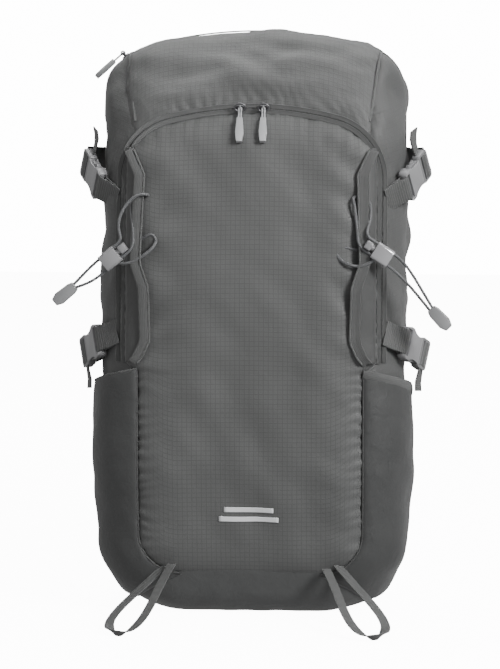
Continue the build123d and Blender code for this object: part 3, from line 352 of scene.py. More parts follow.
def coil_material(name, color):
    """Zip teeth: a painted highlight on each tooth's edge and painted shade in the gap between teeth, every
    millimetre or so along the tape.
    """
    mat, tree, shader = material_base(name, 0.35)
    uv = tree.nodes.new("ShaderNodeUVMap")
    rib = tree.nodes.new("ShaderNodeGroup")
    rib.node_tree = group("rib")
    rib.inputs["Pitch"].default_value = 0.0013
    tree.links.new(uv.outputs["UV"], rib.inputs["Vector"])
    # Painted highlight and painted shade of the teeth: the colour swings from 0.3 to 1.1 of the coil's colour.
    factor = math_node(tree, "MULTIPLY_ADD", rib.outputs["Rib"], 0.8, 0.3)
    tree.links.new(tinted(tree, color, factor), shader.inputs["Base Color"])
    bump(tree, shader, rib.outputs["Rib"], 1.0, 0.0006)
    return mat


MATERIALS = {}


def make_materials(settings):
    """All the finishes, from the panel's own colours."""
    front = tuple(settings.front_color)
    dark = tuple(settings.dark_color)
    MATERIALS.update({
        "front": cloth_material("Front ripstop", front, grid=0.17, crease=0.35),
        "top": cloth_material("Top ripstop", shade(front, 0.92), grid=0.14, crease=0.6),
        "side": cloth_material("Side ripstop", shade(front, 0.80), grid=0.12, crease=0.8),
        "plain": cloth_material("Plain nylon", shade(dark, 1.7), weave=1.0, rough=0.68, crease=0.9),
        "pocket": cloth_material("Pocket nylon", shade(dark, 0.92), weave=1.0, rough=0.6, crease=1.0),
        # The wing nylon is the front fabric darkened to 0.56 as painted shade, standing in for the shade on the
        # folded wings.
        "wing": cloth_material("Wing nylon", shade(front, 0.56), weave=0.6, crease=0.8),
        "tape": webbing_material("Zip tape", shade(front, 1.15), pitch=0.0009, rough=0.5),
        "edge": webbing_material("Border tape", shade(front, 1.0), pitch=0.0011),
        "piping": webbing_material("Piping", shade(front, 1.7), pitch=0.0012, rough=0.55),
        "web": webbing_material("Webbing", shade(front, 0.95)),
        "loop": webbing_material("Loop tape", shade(front, 1.05), pitch=0.0016),
        "buckle": plastic_material("Buckle plastic", (0.22, 0.22, 0.225)),
        "buckle_dark": plastic_material("Buckle plug plastic", (0.16, 0.16, 0.164)),
        "tip": plastic_material("Pull grip", (0.36, 0.365, 0.37), rough=0.35),
        "cap": plastic_material("Cord cap", (0.21, 0.213, 0.216), rough=0.45),
        # The right lock barrel's lighter, glossier finish is painted light: it is the same lock part as the left
        # barrel, made brighter on the lit side.
        "clear": plastic_material("Glossy lock", (0.42, 0.42, 0.43), rough=0.2, metallic=0.5),
        "metal": plastic_material("Dark zinc", (0.13, 0.13, 0.135), rough=0.3, metallic=0.9),
        "stay": plastic_material("Aluminium stay", (0.7, 0.7, 0.72), rough=0.35, metallic=1.0),
        "sheet": plastic_material("Frame sheet", (0.4, 0.4, 0.4), rough=0.5),
        "mesh": mesh_material("Spacer mesh", (0.055, 0.056, 0.06)),
        "cord": cord_material("Elastic sheath", (0.085, 0.087, 0.09)),
        "coil": coil_material("Zip coil", shade(front, 0.8)),
        "strip": plastic_material("Reflective strip", (0.62, 0.63, 0.64), rough=0.3, speck=0.05),
    })


# ---- the bag's form -----------------------------------------------------------------------------
def soften(bm):
    bmesh.ops.smooth_vert(bm, verts=bm.verts, factor=0.5, use_axis_x=True, use_axis_y=True, use_axis_z=True)


def make_form():
    """A smooth closed form through the shell's own panels, which every fabric piece is laid on."""
    bm = bmesh.new()
    for name in SHELL_NODES:
        for vert in frame["nodes"][name].data.vertices:
            bm.verts.new(vert.co)
    bmesh.ops.remove_doubles(bm, verts=bm.verts, dist=0.0005)
    made = bmesh.ops.convex_hull(bm, input=bm.verts)
    loose = [v for v in bm.verts if not v.link_faces]
    bmesh.ops.delete(bm, geom=loose, context="VERTS")
    hull = mesh_from("form", bm)
    shape = hull.modifiers.new("Voxels", "REMESH")
    shape.mode = "VOXEL"
    shape.voxel_size = 0.005
    dg = bpy.context.evaluated_depsgraph_get()
    fine = bpy.data.meshes.new_from_object(hull.evaluated_get(dg))
    bm = bmesh.new()
    bm.from_mesh(fine)
    for _ in range(16):
        soften(bm)
    bmesh.ops.triangulate(bm, faces=bm.faces)
    state["form"] = BVHTree.FromBMesh(bm)
    bm.free()
    bpy.data.objects.remove(hull)


def cast(origin, toward):
    """Where a line from origin towards a point leaves the form."""
    ray = (Vector(toward) - Vector(origin)).normalized()
    hit, normal, _, _ = state["form"].ray_cast(Vector(origin), ray)
    if hit is None:
        hit, normal, _, _ = state["form"].find_nearest(Vector(toward))
    return hit


def front_point(x, z):
    """The point of the form's front face seen straight on at (x, z)."""
    return cast((x, 0.02, z), (x, -1.0, z))


def arch_height(x, half=FLAP_HALF, top=0.5054, corner=0.060, radius=0.330):
    """Height of the zip arch at x."""
    x = min(abs(x), half)
    centre = top - radius
    inner = half - corner
    middle = centre + math.sqrt((radius - corner) ** 2 - inner**2)
    touch = inner * radius / (radius - corner)
    if x <= touch:
        return centre + math.sqrt(radius**2 - x**2)
    return middle + math.sqrt(max(0.0, corner**2 - (x - inner) ** 2))


def patch(name, place, length, height, lift, relax=3, thick=0.0014):
    """A panel of cloth: place(u, v) gives a point of the form, lift(u, v, co, d) its height above it,
    where d is the distance to the nearest edge of the panel. The UV map is in metres."""
    nu, nv = max(6, round(length / GRID)), max(6, round(height / GRID))
    pts = np.array([[place(i / nu, j / nv) for i in range(nu + 1)] for j in range(nv + 1)], dtype=float)
    for _ in range(relax):
        mean = (pts[:-2, 1:-1] + pts[2:, 1:-1] + pts[1:-1, :-2] + pts[1:-1, 2:]) / 4
        pts[1:-1, 1:-1] = 0.5 * pts[1:-1, 1:-1] + 0.5 * mean
    du = np.gradient(pts, axis=1)
    dv = np.gradient(pts, axis=0)
    normal = np.cross(du, dv)
    normal /= np.maximum(np.linalg.norm(normal, axis=2, keepdims=True), 1e-12)
    middle = (nv // 2, nu // 2)
    inward = np.dot(normal[middle], pts[middle] - np.array(CORE)) < 0
    if inward:
        normal = -normal
    step_u = np.linalg.norm(np.diff(pts, axis=1), axis=2)
    step_v = np.linalg.norm(np.diff(pts, axis=0), axis=2)
    along_u = np.concatenate([np.zeros((nv + 1, 1)), np.cumsum(step_u, axis=1)], axis=1)
    along_v = np.concatenate([np.zeros((1, nu + 1)), np.cumsum(step_v, axis=0)], axis=0)
    edge_u = np.minimum(along_u, along_u[:, -1:] - along_u)
    edge_v = np.minimum(along_v, along_v[-1:] - along_v)
    edge = np.minimum(edge_u, edge_v)
    centred = along_u - along_u[:, -1:] / 2
    bm = bmesh.new()
    uv = bm.loops.layers.uv.new("UVMap")
    verts = []
    for j in range(nv + 1):
        row = []
        for i in range(nu + 1):
            up = lift(i / nu, j / nv, pts[j, i], edge[j, i])
            row.append(bm.verts.new(pts[j, i] + normal[j, i] * up))
        verts.append(row)
    for j in range(nv):
        for i in range(nu):
            corners = ((j, i), (j, i + 1), (j + 1, i + 1), (j + 1, i))
            corners = corners[::-1] if inward else corners
            face = bm.faces.new([verts[a][b] for a, b in corners])
            for loop, (a, b) in zip(face.loops, corners):
                loop[uv].uv = (centred[a, b], along_v[a, b])
    obj = mesh_from(name, bm)
    if thick:
        solid = obj.modifiers.new("Cloth", "SOLIDIFY")
        solid.thickness = thick
        solid.offset = -1
    return obj


def crowned(puff, fold=0.0, scale=0.07, seed=0.0, gather=0.0, pitch=0.009, reach=0.016, stretch=(1, 1, 1)):
    """A lift for a sewn panel: it sinks at its seams, crowns between them, and folds and gathers."""
    def lift(u, v, co, d):
        x, y, z = (c * s for c, s in zip(co, stretch))
        body = 1 - math.exp(-d / reach)
        rise = -0.0012 * math.exp(-d / 0.0025) + puff * body
        rise += fold * body * (wave(x, y, z, scale, seed) + 0.5 * wave(x, y, z, scale * 0.45, seed + 7))
        if gather:
            turn = (co[0] + co[1] * 0.6 + co[2] * (0.25 if v > 0.05 else 1.0)) / pitch
            beat = math.sin(2 * math.pi * turn + 6.0 * wave(*co, 0.035, seed))
            beat = 0.6 * beat + 1.1 * wave(co[0], 0, co[2] * 0.3, pitch * 0.9, seed + 5)
            rise += gather * beat * math.exp(-d / 0.014) * (0.4 + 0.6 * abs(wave(*co, 0.05, seed + 3)))
        return rise
    return lift


def tube(name, points, radius, sides=8):
    """A round piping along a line of points."""
    curve = bpy.data.curves.new(name, "CURVE")
    curve.dimensions = "3D"
    spline = curve.splines.new("NURBS")
    spline.points.add(len(points) - 1)
    for point, co in zip(spline.points, points):
        point.co = (*co, 1.0)
    spline.order_u = 3
    spline.use_endpoint_u = True
    curve.bevel_depth = radius
    curve.bevel_resolution = 3
    curve.use_fill_caps = True
    obj = bpy.data.objects.new(name.replace(" ", "-"), curve)
    bpy.context.scene.collection.objects.link(obj)
    return obj


def ribbon(name, points, across, width, thick, crown=0.0):
    """Webbing along a line of points. across holds one width direction per point, or one for all.
    Its UV map runs in metres: u along the tape, v across it."""
    points = [Vector(p) for p in points]
    if not isinstance(across, list):
        across = [across] * len(points)
    bm = bmesh.new()
    uv = bm.loops.layers.uv.new("UVMap")
    columns = 4
    rows, run = [], 0.0
    for n, (point, side) in enumerate(zip(points, across)):
        run += (point - points[n - 1]).length if n else 0.0
        ahead = points[min(n + 1, len(points) - 1)] - points[max(n - 1, 0)]
        side = Vector(side)
        side = (side - ahead * (side.dot(ahead) / max(ahead.length_squared, 1e-12))).normalized()
        up = ahead.cross(side).normalized()
        row = []
        for c in range(columns + 1):
            t = c / columns - 0.5
            row.append((point + side * (t * width) + up * (crown * (1 - 4 * t * t)), (run, t * width)))
        rows.append(row)
    made = [[bm.verts.new(co) for co, _ in row] for row in rows]
    for j in range(len(rows) - 1):
        for c in range(columns):
            corners = ((j, c), (j, c + 1), (j + 1, c + 1), (j + 1, c))
            face = bm.faces.new([made[a][b] for a, b in corners])
            for loop, (a, b) in zip(face.loops, corners):
                loop[uv].uv = rows[a][b][1]
    obj = mesh_from(name, bm)
    solid = obj.modifiers.new("Web", "SOLIDIFY")
    solid.thickness = thick
    solid.offset = 0
    edge = obj.modifiers.new("Edge", "BEVEL")
    edge.width = min(thick * 0.3, 0.0004)
    edge.segments = 2
    edge.limit_method = "ANGLE"
    return obj


def skin(node, name, bevel=0.0006, keep=None, material="buckle", body="pack", replaces=True):
    """A softened copy of a moulded CAD part, with rounded edges."""
    bm = bmesh.new()
    bm.from_mesh(frame["nodes"][node].data)
    if keep:
        gone = [v for v in bm.verts if not keep(v.co)]
        bmesh.ops.delete(bm, geom=gone, context="VERTS")
    bmesh.ops.remove_doubles(bm, verts=bm.verts, dist=0.00002)
    bmesh.ops.dissolve_limit(bm, angle_limit=0.02, verts=bm.verts, edges=bm.edges)
    obj = mesh_from(name, bm)
    obj.data.materials.clear()
    if bevel:
        edge = obj.modifiers.new("Edge", "BEVEL")
        edge.width = bevel
        edge.segments = 2
        edge.limit_method = "ANGLE"
        edge.angle_limit = math.radians(35)
        edge.harden_normals = True
    dress(obj, MATERIALS[material], body)
    if replaces:
        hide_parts(node)
    return obj


# ---- fabric panels ------------------------------------------------------------------------------
def between(a, b, turn, u):
    """A direction that share u of the turn from a to b."""
    mix = a.normalized() * math.sin((1 - u) * turn) + b.normalized() * math.sin(u * turn)
    return mix / math.sin(turn)


def side_place(side):
    """Points of a side panel: u runs from the front seam to the back seam."""
    def place(u, v):
        z = lerp(BASE_SEAM, 0.500, min(1.0, v / 0.80))
        over = max(0.0, (v - 0.80) / 0.20)
        if over <= 0:
            start = front_point(side * table(
                ((0.048, 0.101), (0.075, 0.111), (0.252, 0.1112), (0.262, 0.1290), (0.437, 0.1290),
                 (0.462, 0.1240), (0.478, 0.1150), (0.500, 0.1150)), z), z)
        else:
            start = seam_over(side, over * 0.86)
        core = Vector((side * 0.045, 0.0, min(z, 0.47)))
        if over <= 0:
            end = cast((side * 0.045, 0.0, z), Vector((side * 0.1495, 0.070, z)))
        else:
            end = back_corner(side, over)
        a, b = (start - core), (end - core)
        turn = a.angle(b)
        return cast(core, core + between(a, b, turn, u))
    return place


def seam_over(side, t):
    """The seam between top and side panels, from the zip over the shoulder to the back seam."""
    angle = lerp(math.radians(14), math.radians(118), t)
    core = Vector((side * table(((0.0, 0.1145), (0.45, 0.1245), (1.0, 0.127)), t), 0.030, 0.470))
    point = cast(core, core + Vector((0.0, -math.cos(angle), math.sin(angle))))
    return point


def back_corner(side, t):
    """The back seam of a side panel, from the shoulder up and over towards the crown."""
    angle = lerp(0.0, math.radians(62), t)
    core = Vector((side * 0.06, 0.066, 0.500))
    return cast(core, core + Vector((side * math.cos(angle), 0.004, math.sin(angle))))


def top_place(u, v):
    """The top panel: u across, v from the zip arch over the crown to the main zip."""
    half = lerp(0.1145, 0.1265, min(1.0, v * 2.2))
    x = (2 * u - 1) * half
    low = front_point(x, min(arch_height(x), 0.505) + 0.0012)
    core = Vector((x, 0.036, 0.440))
    start = math.atan2(low.z - core.z, core.y - low.y)
    angle = lerp(start, math.radians(90), v)
    return cast(core, core + Vector((0.0, -math.cos(angle), math.sin(angle))))


def crown_place(u, v):
    """The strip behind the main zip, down to the back panel's seam."""
    x = (2 * u - 1) * 0.1265
    angle = lerp(math.radians(90), math.radians(112), v)
    core = Vector((x, 0.036, 0.500))
    return cast(core, core + Vector((0.0, -math.cos(angle), math.sin(angle))))


def back_place(u, v):
    """The back panel, round its two upright corners."""
    z = lerp(BASE_SEAM, 0.576, v)
    turn = (2 * u - 1) * math.radians(62)
    wide = 0.085
    core = Vector((math.copysign(wide, turn) * abs(math.sin(turn)), 0.02, min(z, 0.545)))
    aim = core + Vector((math.sin(turn) * 1.15, math.cos(turn) * 0.75 + 0.1, (z - core.z) * 22))
    return cast(core, aim)


def base_place(u, v):
    """The base: u round it, v from the side seam to the middle of the flat underside."""
    turn = 2 * math.pi * (u + 0.5)
    core = Vector((0.0, -0.008, 0.085))
    flat = Vector((math.sin(turn) * 0.150, -math.cos(turn) * 0.098, 0.0))
    drop = lerp(0.029, 0.085, min(1.0, v * 2.6))
    wide = table(((0.0, 1.0), (0.34, 0.80), (1.0, 0.0)), v)
    return cast(core, core + flat * wide + Vector((0, 0, -drop)))


def lower_half(z):
    """Half width of the front panel below the flap, rounded at its foot."""
    rise = z - BASE_SEAM - FOOT_CORNER
    if rise >= 0:
        return SEAM_HALF
    return SEAM_HALF - FOOT_CORNER + math.sqrt(max(0.0, FOOT_CORNER**2 - rise**2))


def front_half(z):
    """Half width of the whole front panel: wider above the flap's fold, where the zip runs."""
    return lerp(SEAM_HALF, FLAP_HALF, min(1.0, max(0.0, (z - 0.250) / 0.012)))


def front_place(u, v):
    """The front panel from the base seam to the zip arch, seen straight on."""
    s = 2 * u - 1
    share = math.sin(s * math.pi / 2) * 0.35 + s * 0.65
    guess = lerp(BASE_SEAM, 0.5054, v)
    x = share * front_half(guess)
    foot = BASE_SEAM
    if abs(x) > SEAM_HALF - FOOT_CORNER:
        past = min(FOOT_CORNER, abs(x) - (SEAM_HALF - FOOT_CORNER))
        foot = BASE_SEAM + FOOT_CORNER - math.sqrt(FOOT_CORNER**2 - past**2)
    top = arch_height(x) - 0.0006
    low = lerp(foot, BASE_SEAM, min(1.0, v / 0.4))
    high = lerp(0.5048, top, max(0.0, (v - 0.5) / 0.5))
    return front_point(x, lerp(low, high, v))


def wing_inner(z):
    return table(((0.2575, 0.1130), (0.265, 0.1060), (0.282, 0.0985), (0.335, 0.1000), (0.358, 0.1080),
                  (0.432, 0.1055), (0.443, 0.1050), (0.468, 0.1165)), z)


def wing_place(side):
    def place(u, v):
        z = lerp(0.2595, 0.468, v)
        x = side * lerp(wing_inner(z), 0.1212, u)
        return front_point(x, z)
    return place


def pocket_top(y):
    """Height of a pocket's mouth that far back."""
    return 0.2555 - MOUTH_SLOPE * (y + 0.105)


def pocket_place(side):
    """A side pocket: u from the front seam to its back seam, v up to its mouth."""
    def place(u, v):
        y = lerp(-0.100, 0.052, u)
        top = pocket_top(y)
        foot = lerp(0.046, 0.025, min(1, 3 * u))
        z = lerp(foot, top, v)
        core = Vector((side * 0.045, 0.0, max(z, 0.05)))
        start = front_point(side * (lower_half(max(z, BASE_SEAM)) - 0.001), z)
        end = cast(core, Vector((side * 0.150, 0.052, z)))
        a, b = start - core, end - core
        turn = a.angle(b)
        return cast(core, core + between(a, b, turn, u))
    return place


def pocket_lift(side):
    base = crowned(0.0015, fold=0.0034, scale=0.055, seed=4.0 * side, gather=0.0008)
    def lift(u, v, co, d):
        belly = math.sin(math.pi * min(1.0, u * 1.02)) ** 0.55
        foot = min(1.0, v / 0.22) ** 0.6
        drape = 0.0012 * math.sin(9 * v + 5 * u) * belly
        swell = 0.0105 if side < 0 else 0.0085
        return 0.0012 + swell * belly * foot + drape + base(u, v, co, min(d, 0.05)) * 0.8
    return lift


def front_lift(u, v, co, d):
    """The front's swell, with long shallow folds, gathers under the zip and puckers at the seams."""
    x, _, z = co
    side_gap = max(0.0, front_half(z) - abs(x))
    top_gap = max(0.0, arch_height(x) - z)
    d = min(side_gap, top_gap, max(0.0, d if v < 0.3 else 1.0))
    body = 1 - math.exp(-d / 0.020)
    rise = -0.0012 * math.exp(-d / 0.003) + 0.0042 * body
    rise += 0.0042 * body * wave(x * 1.5, 0, z * 0.6, 0.075, 2.0)
    rise += 0.0021 * body * wave(x + 0.5 * z, 0, z * 0.8, 0.034, 5.0)
    beat = 0.6 * math.sin(2 * math.pi * x / 0.0125 + 7 * wave(x, 0, z, 0.04, 9))
    beat += 1.1 * wave(x, 0, z * 0.3, 0.011, 3)
    rise += 0.0016 * beat * math.exp(-top_gap / 0.016) * (0.4 + abs(wave(x, 0, 0, 0.04, 1)))
    beside = math.exp(-(((side_gap - 0.030) / 0.020) ** 2))
    dents = 0.0042 if z > 0.25 else 0.00147
    rise += dents * beside * wave(x * 0.45, 0, z + 0.3 * abs(x), 0.024, 14.0)
    near = math.exp(-side_gap / 0.012)
    rise += 0.0010 * near * (math.sin(2 * math.pi * z / 0.0105 + 5 * wave(x, 0, z, 0.03, 4))
                             + 1.2 * wave(x * 0.4, 0, z, 0.012, 6))
    return rise


def build_panels(settings):
    """The sewn shell, each panel its own crowned patch."""
    front = patch("front panel", front_place, 0.262, 0.470, front_lift)
    front.data.materials.append(MATERIALS["front"])
    for n, (z, half) in enumerate(((0.115, 0.0245), (0.1055, 0.0295))):
        def strip_place(u, v, z=z, half=half):
            return front_point(lerp(-half, half, u) - 0.0007, lerp(z - 0.0025, z + 0.0025, v))

        def strip_lift(u, v, co, d):
            return front_lift(u, 1.0, co, 1.0) + 0.0007

        strip = patch(f"strip {n + 1}", strip_place, 2 * half, 0.005, strip_lift, relax=0, thick=0.0004)
        dress(strip, MATERIALS["strip"], "pack")
        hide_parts("reflective_strips")
    fold = front_point(0, FLAP_FOOT)
    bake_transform(front)
    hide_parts("front_flap", "front_lower_panel")
    top_lift = crowned(0.0030, 0.0066, 0.055, 11.0, gather=0.0024, pitch=0.0115, stretch=(0.7, 1, 1.5))
    top = patch("top panel", top_place, 0.262, 0.17, top_lift)
    dress(top, MATERIALS["top"], "pack")
    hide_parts("top_panel")
    crown = patch("crown strip", crown_place, 0.262, 0.036, crowned(0.0012, 0.0008, 0.05, 13.0))
    dress(crown, MATERIALS["side"], "pack")
    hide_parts("crown_panel")
    back = patch("back panel", back_place, 0.36, 0.53, crowned(0.0006, 0.0006, 0.08, 15.0))
    dress(back, MATERIALS["side"], "pack")
    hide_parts("back_panel")
    base = patch("base", base_place, 0.86, 0.15, crowned(0.0004, 0.0014, 0.05, 17.0))
    dress(base, MATERIALS["plain"], "pack")
    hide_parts("base_panel")
    for label, side in SIDES.items():
        panel = patch(f"side panel {label}", side_place(side), 0.19, 0.56,
                      crowned(0.0014, 0.0062, 0.050, 20.0 + side, gather=0.0014))
        dress(panel, MATERIALS["side"], "pack")
        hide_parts(f"side_panel_{label}")
        pocket = patch(f"side pocket {label}", pocket_place(side), 0.20, 0.21, pocket_lift(side))
        dress(pocket, MATERIALS["pocket"], "pack")
        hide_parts(f"side_pocket_{label}")


def build_wings(settings):
    """The strip inside each upright run of the zip, with its folded border tape."""
    stand = settings.wing_lift
    for label, side in SIDES.items():
        def lift(u, v, co, d):
            free = math.exp(-((v - 0.52) / 0.33) ** 2)
            roll = (1 - u) * free
            return 0.0032 + stand * roll + 0.0008 * wave(*co, 0.03, 3 * side) + 0.0010 * math.sin(math.pi * u)
        wing = patch(f"wing {label}", wing_place(side), 0.020, 0.209, lift, relax=0)
        # The wing's darkened material is painted shade.
        dress(wing, MATERIALS["wing"], "flap")
        edge, middle, outer = [], [], []
        for n in range(61):
            z = lerp(0.2600, 0.4665, n / 60)
            v = n / 60
            free = math.exp(-((v - 0.52) / 0.33) ** 2)
            out = 0.0050 + stand * free + 0.0004 * wave(0, 0, z, 0.02, side)
            x = wing_inner(z)
            mid = front_point(side * (x + 0.0042), z)
            rim = front_point(side * (x - 0.0008), z)
            far = front_point(side * (x + 0.0094), z)
            middle.append(mid + Vector((0, -out, 0)))
            edge.append(rim + Vector((0, -out + 0.0006, 0)))
            outer.append(far + Vector((0, -out + 0.0004, 0)))
        border = ribbon(f"border tape {label}", middle, Vector((side, 0, 0)), 0.0098, 0.0012, crown=0.0006)
        dress(border, MATERIALS["edge"], "flap")
        piping = tube(f"border piping {label}", edge, 0.0010)
        dress(piping, MATERIALS["piping"], "flap")
        stitch = tube(f"border stitch {label}", outer, 0.00035)
        dress(stitch, MATERIALS["tape"], "flap")
    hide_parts("wings")
    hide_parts("wing_edge_tapes")


def arch_line(off, out, low=FLAP_FOOT, count=120):
    """Points along the zip, moved outwards from the flap by off, and off the fabric by out."""
    half = FLAP_HALF + 0.0006
    right = []
    shoulder = 0.4373
    for n in range(40):
        right.append((half + off, lerp(low, shoulder, n / 39), Vector((1, 0, 0))))
    for n in range(1, 30):
        turn = math.radians(lerp(0, 75.4, n / 29))
        reach = 0.060 + off
        right.append((0.0681 + reach * math.cos(turn), shoulder + reach * math.sin(turn),
                      Vector((math.cos(turn), 0, math.sin(turn)))))
    for n in range(1, 26):
        turn = lerp(math.asin(min(1, 0.0832 / 0.330)), 0.0, n / 25)
        reach = 0.330 + off
        right.append((reach * math.sin(turn), 0.176 + reach * math.cos(turn),
                      Vector((math.sin(turn), 0, math.cos(turn)))))
    points, across = [], []
    for side, rows in ((1, right), (-1, list(reversed(right))[1:])):
        for x, z, way in rows:
            hit = front_point(side * x, z)
            points.append(hit + Vector((side * x * 0.9, -0.6, 0.25)).normalized() * out)
            across.append(Vector((side * way.x, 0, way.z)))
    return points, across


def build_zips(settings):
    """The front and main zips: two tapes, a coil between, and the seam round the rest of the shell."""
    spots = (("outer tape", 0.0027, 0.0012, 0.0046, "tape", "pack", "zip_tapes"),
             ("inner tape", -0.0027, 0.0016, 0.0046, "tape", "flap", "front_zip_inner_tape"),
             ("zip coil", 0.0, 0.0012, 0.0016, "coil", "pack", None))
    for name, off, out, width, finish, body, node in spots:
        points, across = arch_line(off, out)
        made = ribbon(f"front zip {name}", points, across, width, 0.0008, crown=0.0003)
        dress(made, MATERIALS[finish], body)
        if node:
            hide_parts(node)
    for label, y, width, finish in (("tape", 0.036, 0.0115, "tape"), ("coil", 0.036, 0.0028, "coil")):
        points = []
        for n in range(90):
            turn = math.radians(lerp(-90, 90, n / 89))
            core = Vector((0.09 * math.sin(turn), y, 0.42 + 0.06 * math.cos(turn)))
            if abs(turn) > math.radians(80):
                core.z = 0.42 - 0.02
            hit = cast(core, core + Vector((math.sin(turn), 0, math.cos(turn))))
            rise = 0.0016 if label == "tape" else 0.0024
            points.append(hit + Vector((math.sin(turn), 0, math.cos(turn))) * rise)
        made = ribbon(f"main zip {label}", points, Vector((0, 1, 0)), width, 0.0008)
        dress(made, MATERIALS[finish], "pack")
    for label, side in SIDES.items():
        seam = [seam_over(side, n / 30 * 0.80) for n in range(31)]
        seam = [p + Vector((side * 0.7, -0.5, 0.5)).normalized() * 0.0010 for p in seam]
        pipe = tube(f"shoulder piping {label}", seam, 0.0013)
        dress(pipe, MATERIALS["piping"], "pack")
        rows = []
        for n in range(40):
            z = lerp(0.0895, 0.2575, n / 39)
            rows.append(front_point(side * SEAM_HALF, z) + Vector((side * 0.5, -0.8, 0)).normalized() * 0.0006)
        low = []
        for n in range(20):
            turn = math.radians(lerp(90, 0, n / 19))
            x = SEAM_HALF - FOOT_CORNER * (1 - math.cos(turn))
            z = BASE_SEAM + FOOT_CORNER * (1 - math.sin(turn))
            low.append(front_point(side * x, z) + Vector((side * 0.3, -0.9, -0.2)).normalized() * 0.0006)
        pipe = tube(f"front seam {label}", low + rows, 0.0011)
        # The seam tube reuses the wing material, the front fabric darkened as painted shade.
        dress(pipe, MATERIALS["wing"], "pack")
        hem = []
        for n in range(40):
            hem_point = pocket_place(side)(n / 39, 1.0)
            belly = math.sin(math.pi * min(1.0, n / 39 * 1.02)) ** 0.55
            away = Vector((hem_point.x - side * 0.045, hem_point.y * 0.6, 0)).normalized()
            swell = 0.0090 if side < 0 else 0.0072
            hem.append(hem_point + away * (0.0010 + swell * belly) - Vector((0, 0, 0.004)))
        band = ribbon(f"pocket hem {label}", hem, Vector((0, 0, 1)), 0.009, 0.0022, crown=0.0010)
        dress(band, MATERIALS["edge"], "pack")


# ---- webbing and hardware -----------------------------------------------------------------------
TAILS = {
    "upper": ((0.1650, -0.0270, 0.4520), (0.1620, -0.0275, 0.4600), (0.1592, -0.0285, 0.4690),
              (0.1580, -0.0300, 0.4770), (0.1588, -0.0320, 0.4850)),
    "lower": ((0.1680, -0.0420, 0.2600), (0.1682, -0.0430, 0.2520), (0.1668, -0.0450, 0.2430),
              (0.1650, -0.0465, 0.2340), (0.1652, -0.0480, 0.2250)),
}


def buckle_place(level, label):
    """Where a compression strap leaves the bag's corner, its run, and its ways out and across,
    from the joint and the plug of its buckle."""
    joint = next(j for j in frame["joints"] if j["name"] == f"unclip_{level}_{label}")
    run = Vector(joint["axis"]).normalized()
    out = Vector((SIDES[label] * math.sin(BUCKLE_TURN), -math.cos(BUCKLE_TURN), 0))
    wide = out.cross(run).normalized()
    verts = frame["nodes"][f"buckle_plug_{level}_{label}"].data.vertices
    start = min(v.co.dot(run) for v in verts) - PLUG_START
    origin = run * start
    for way in (out, wide):
        reach = [v.co.dot(way) for v in verts]
        origin += way * ((min(reach) + max(reach)) / 2)
    return origin, run, out, wide


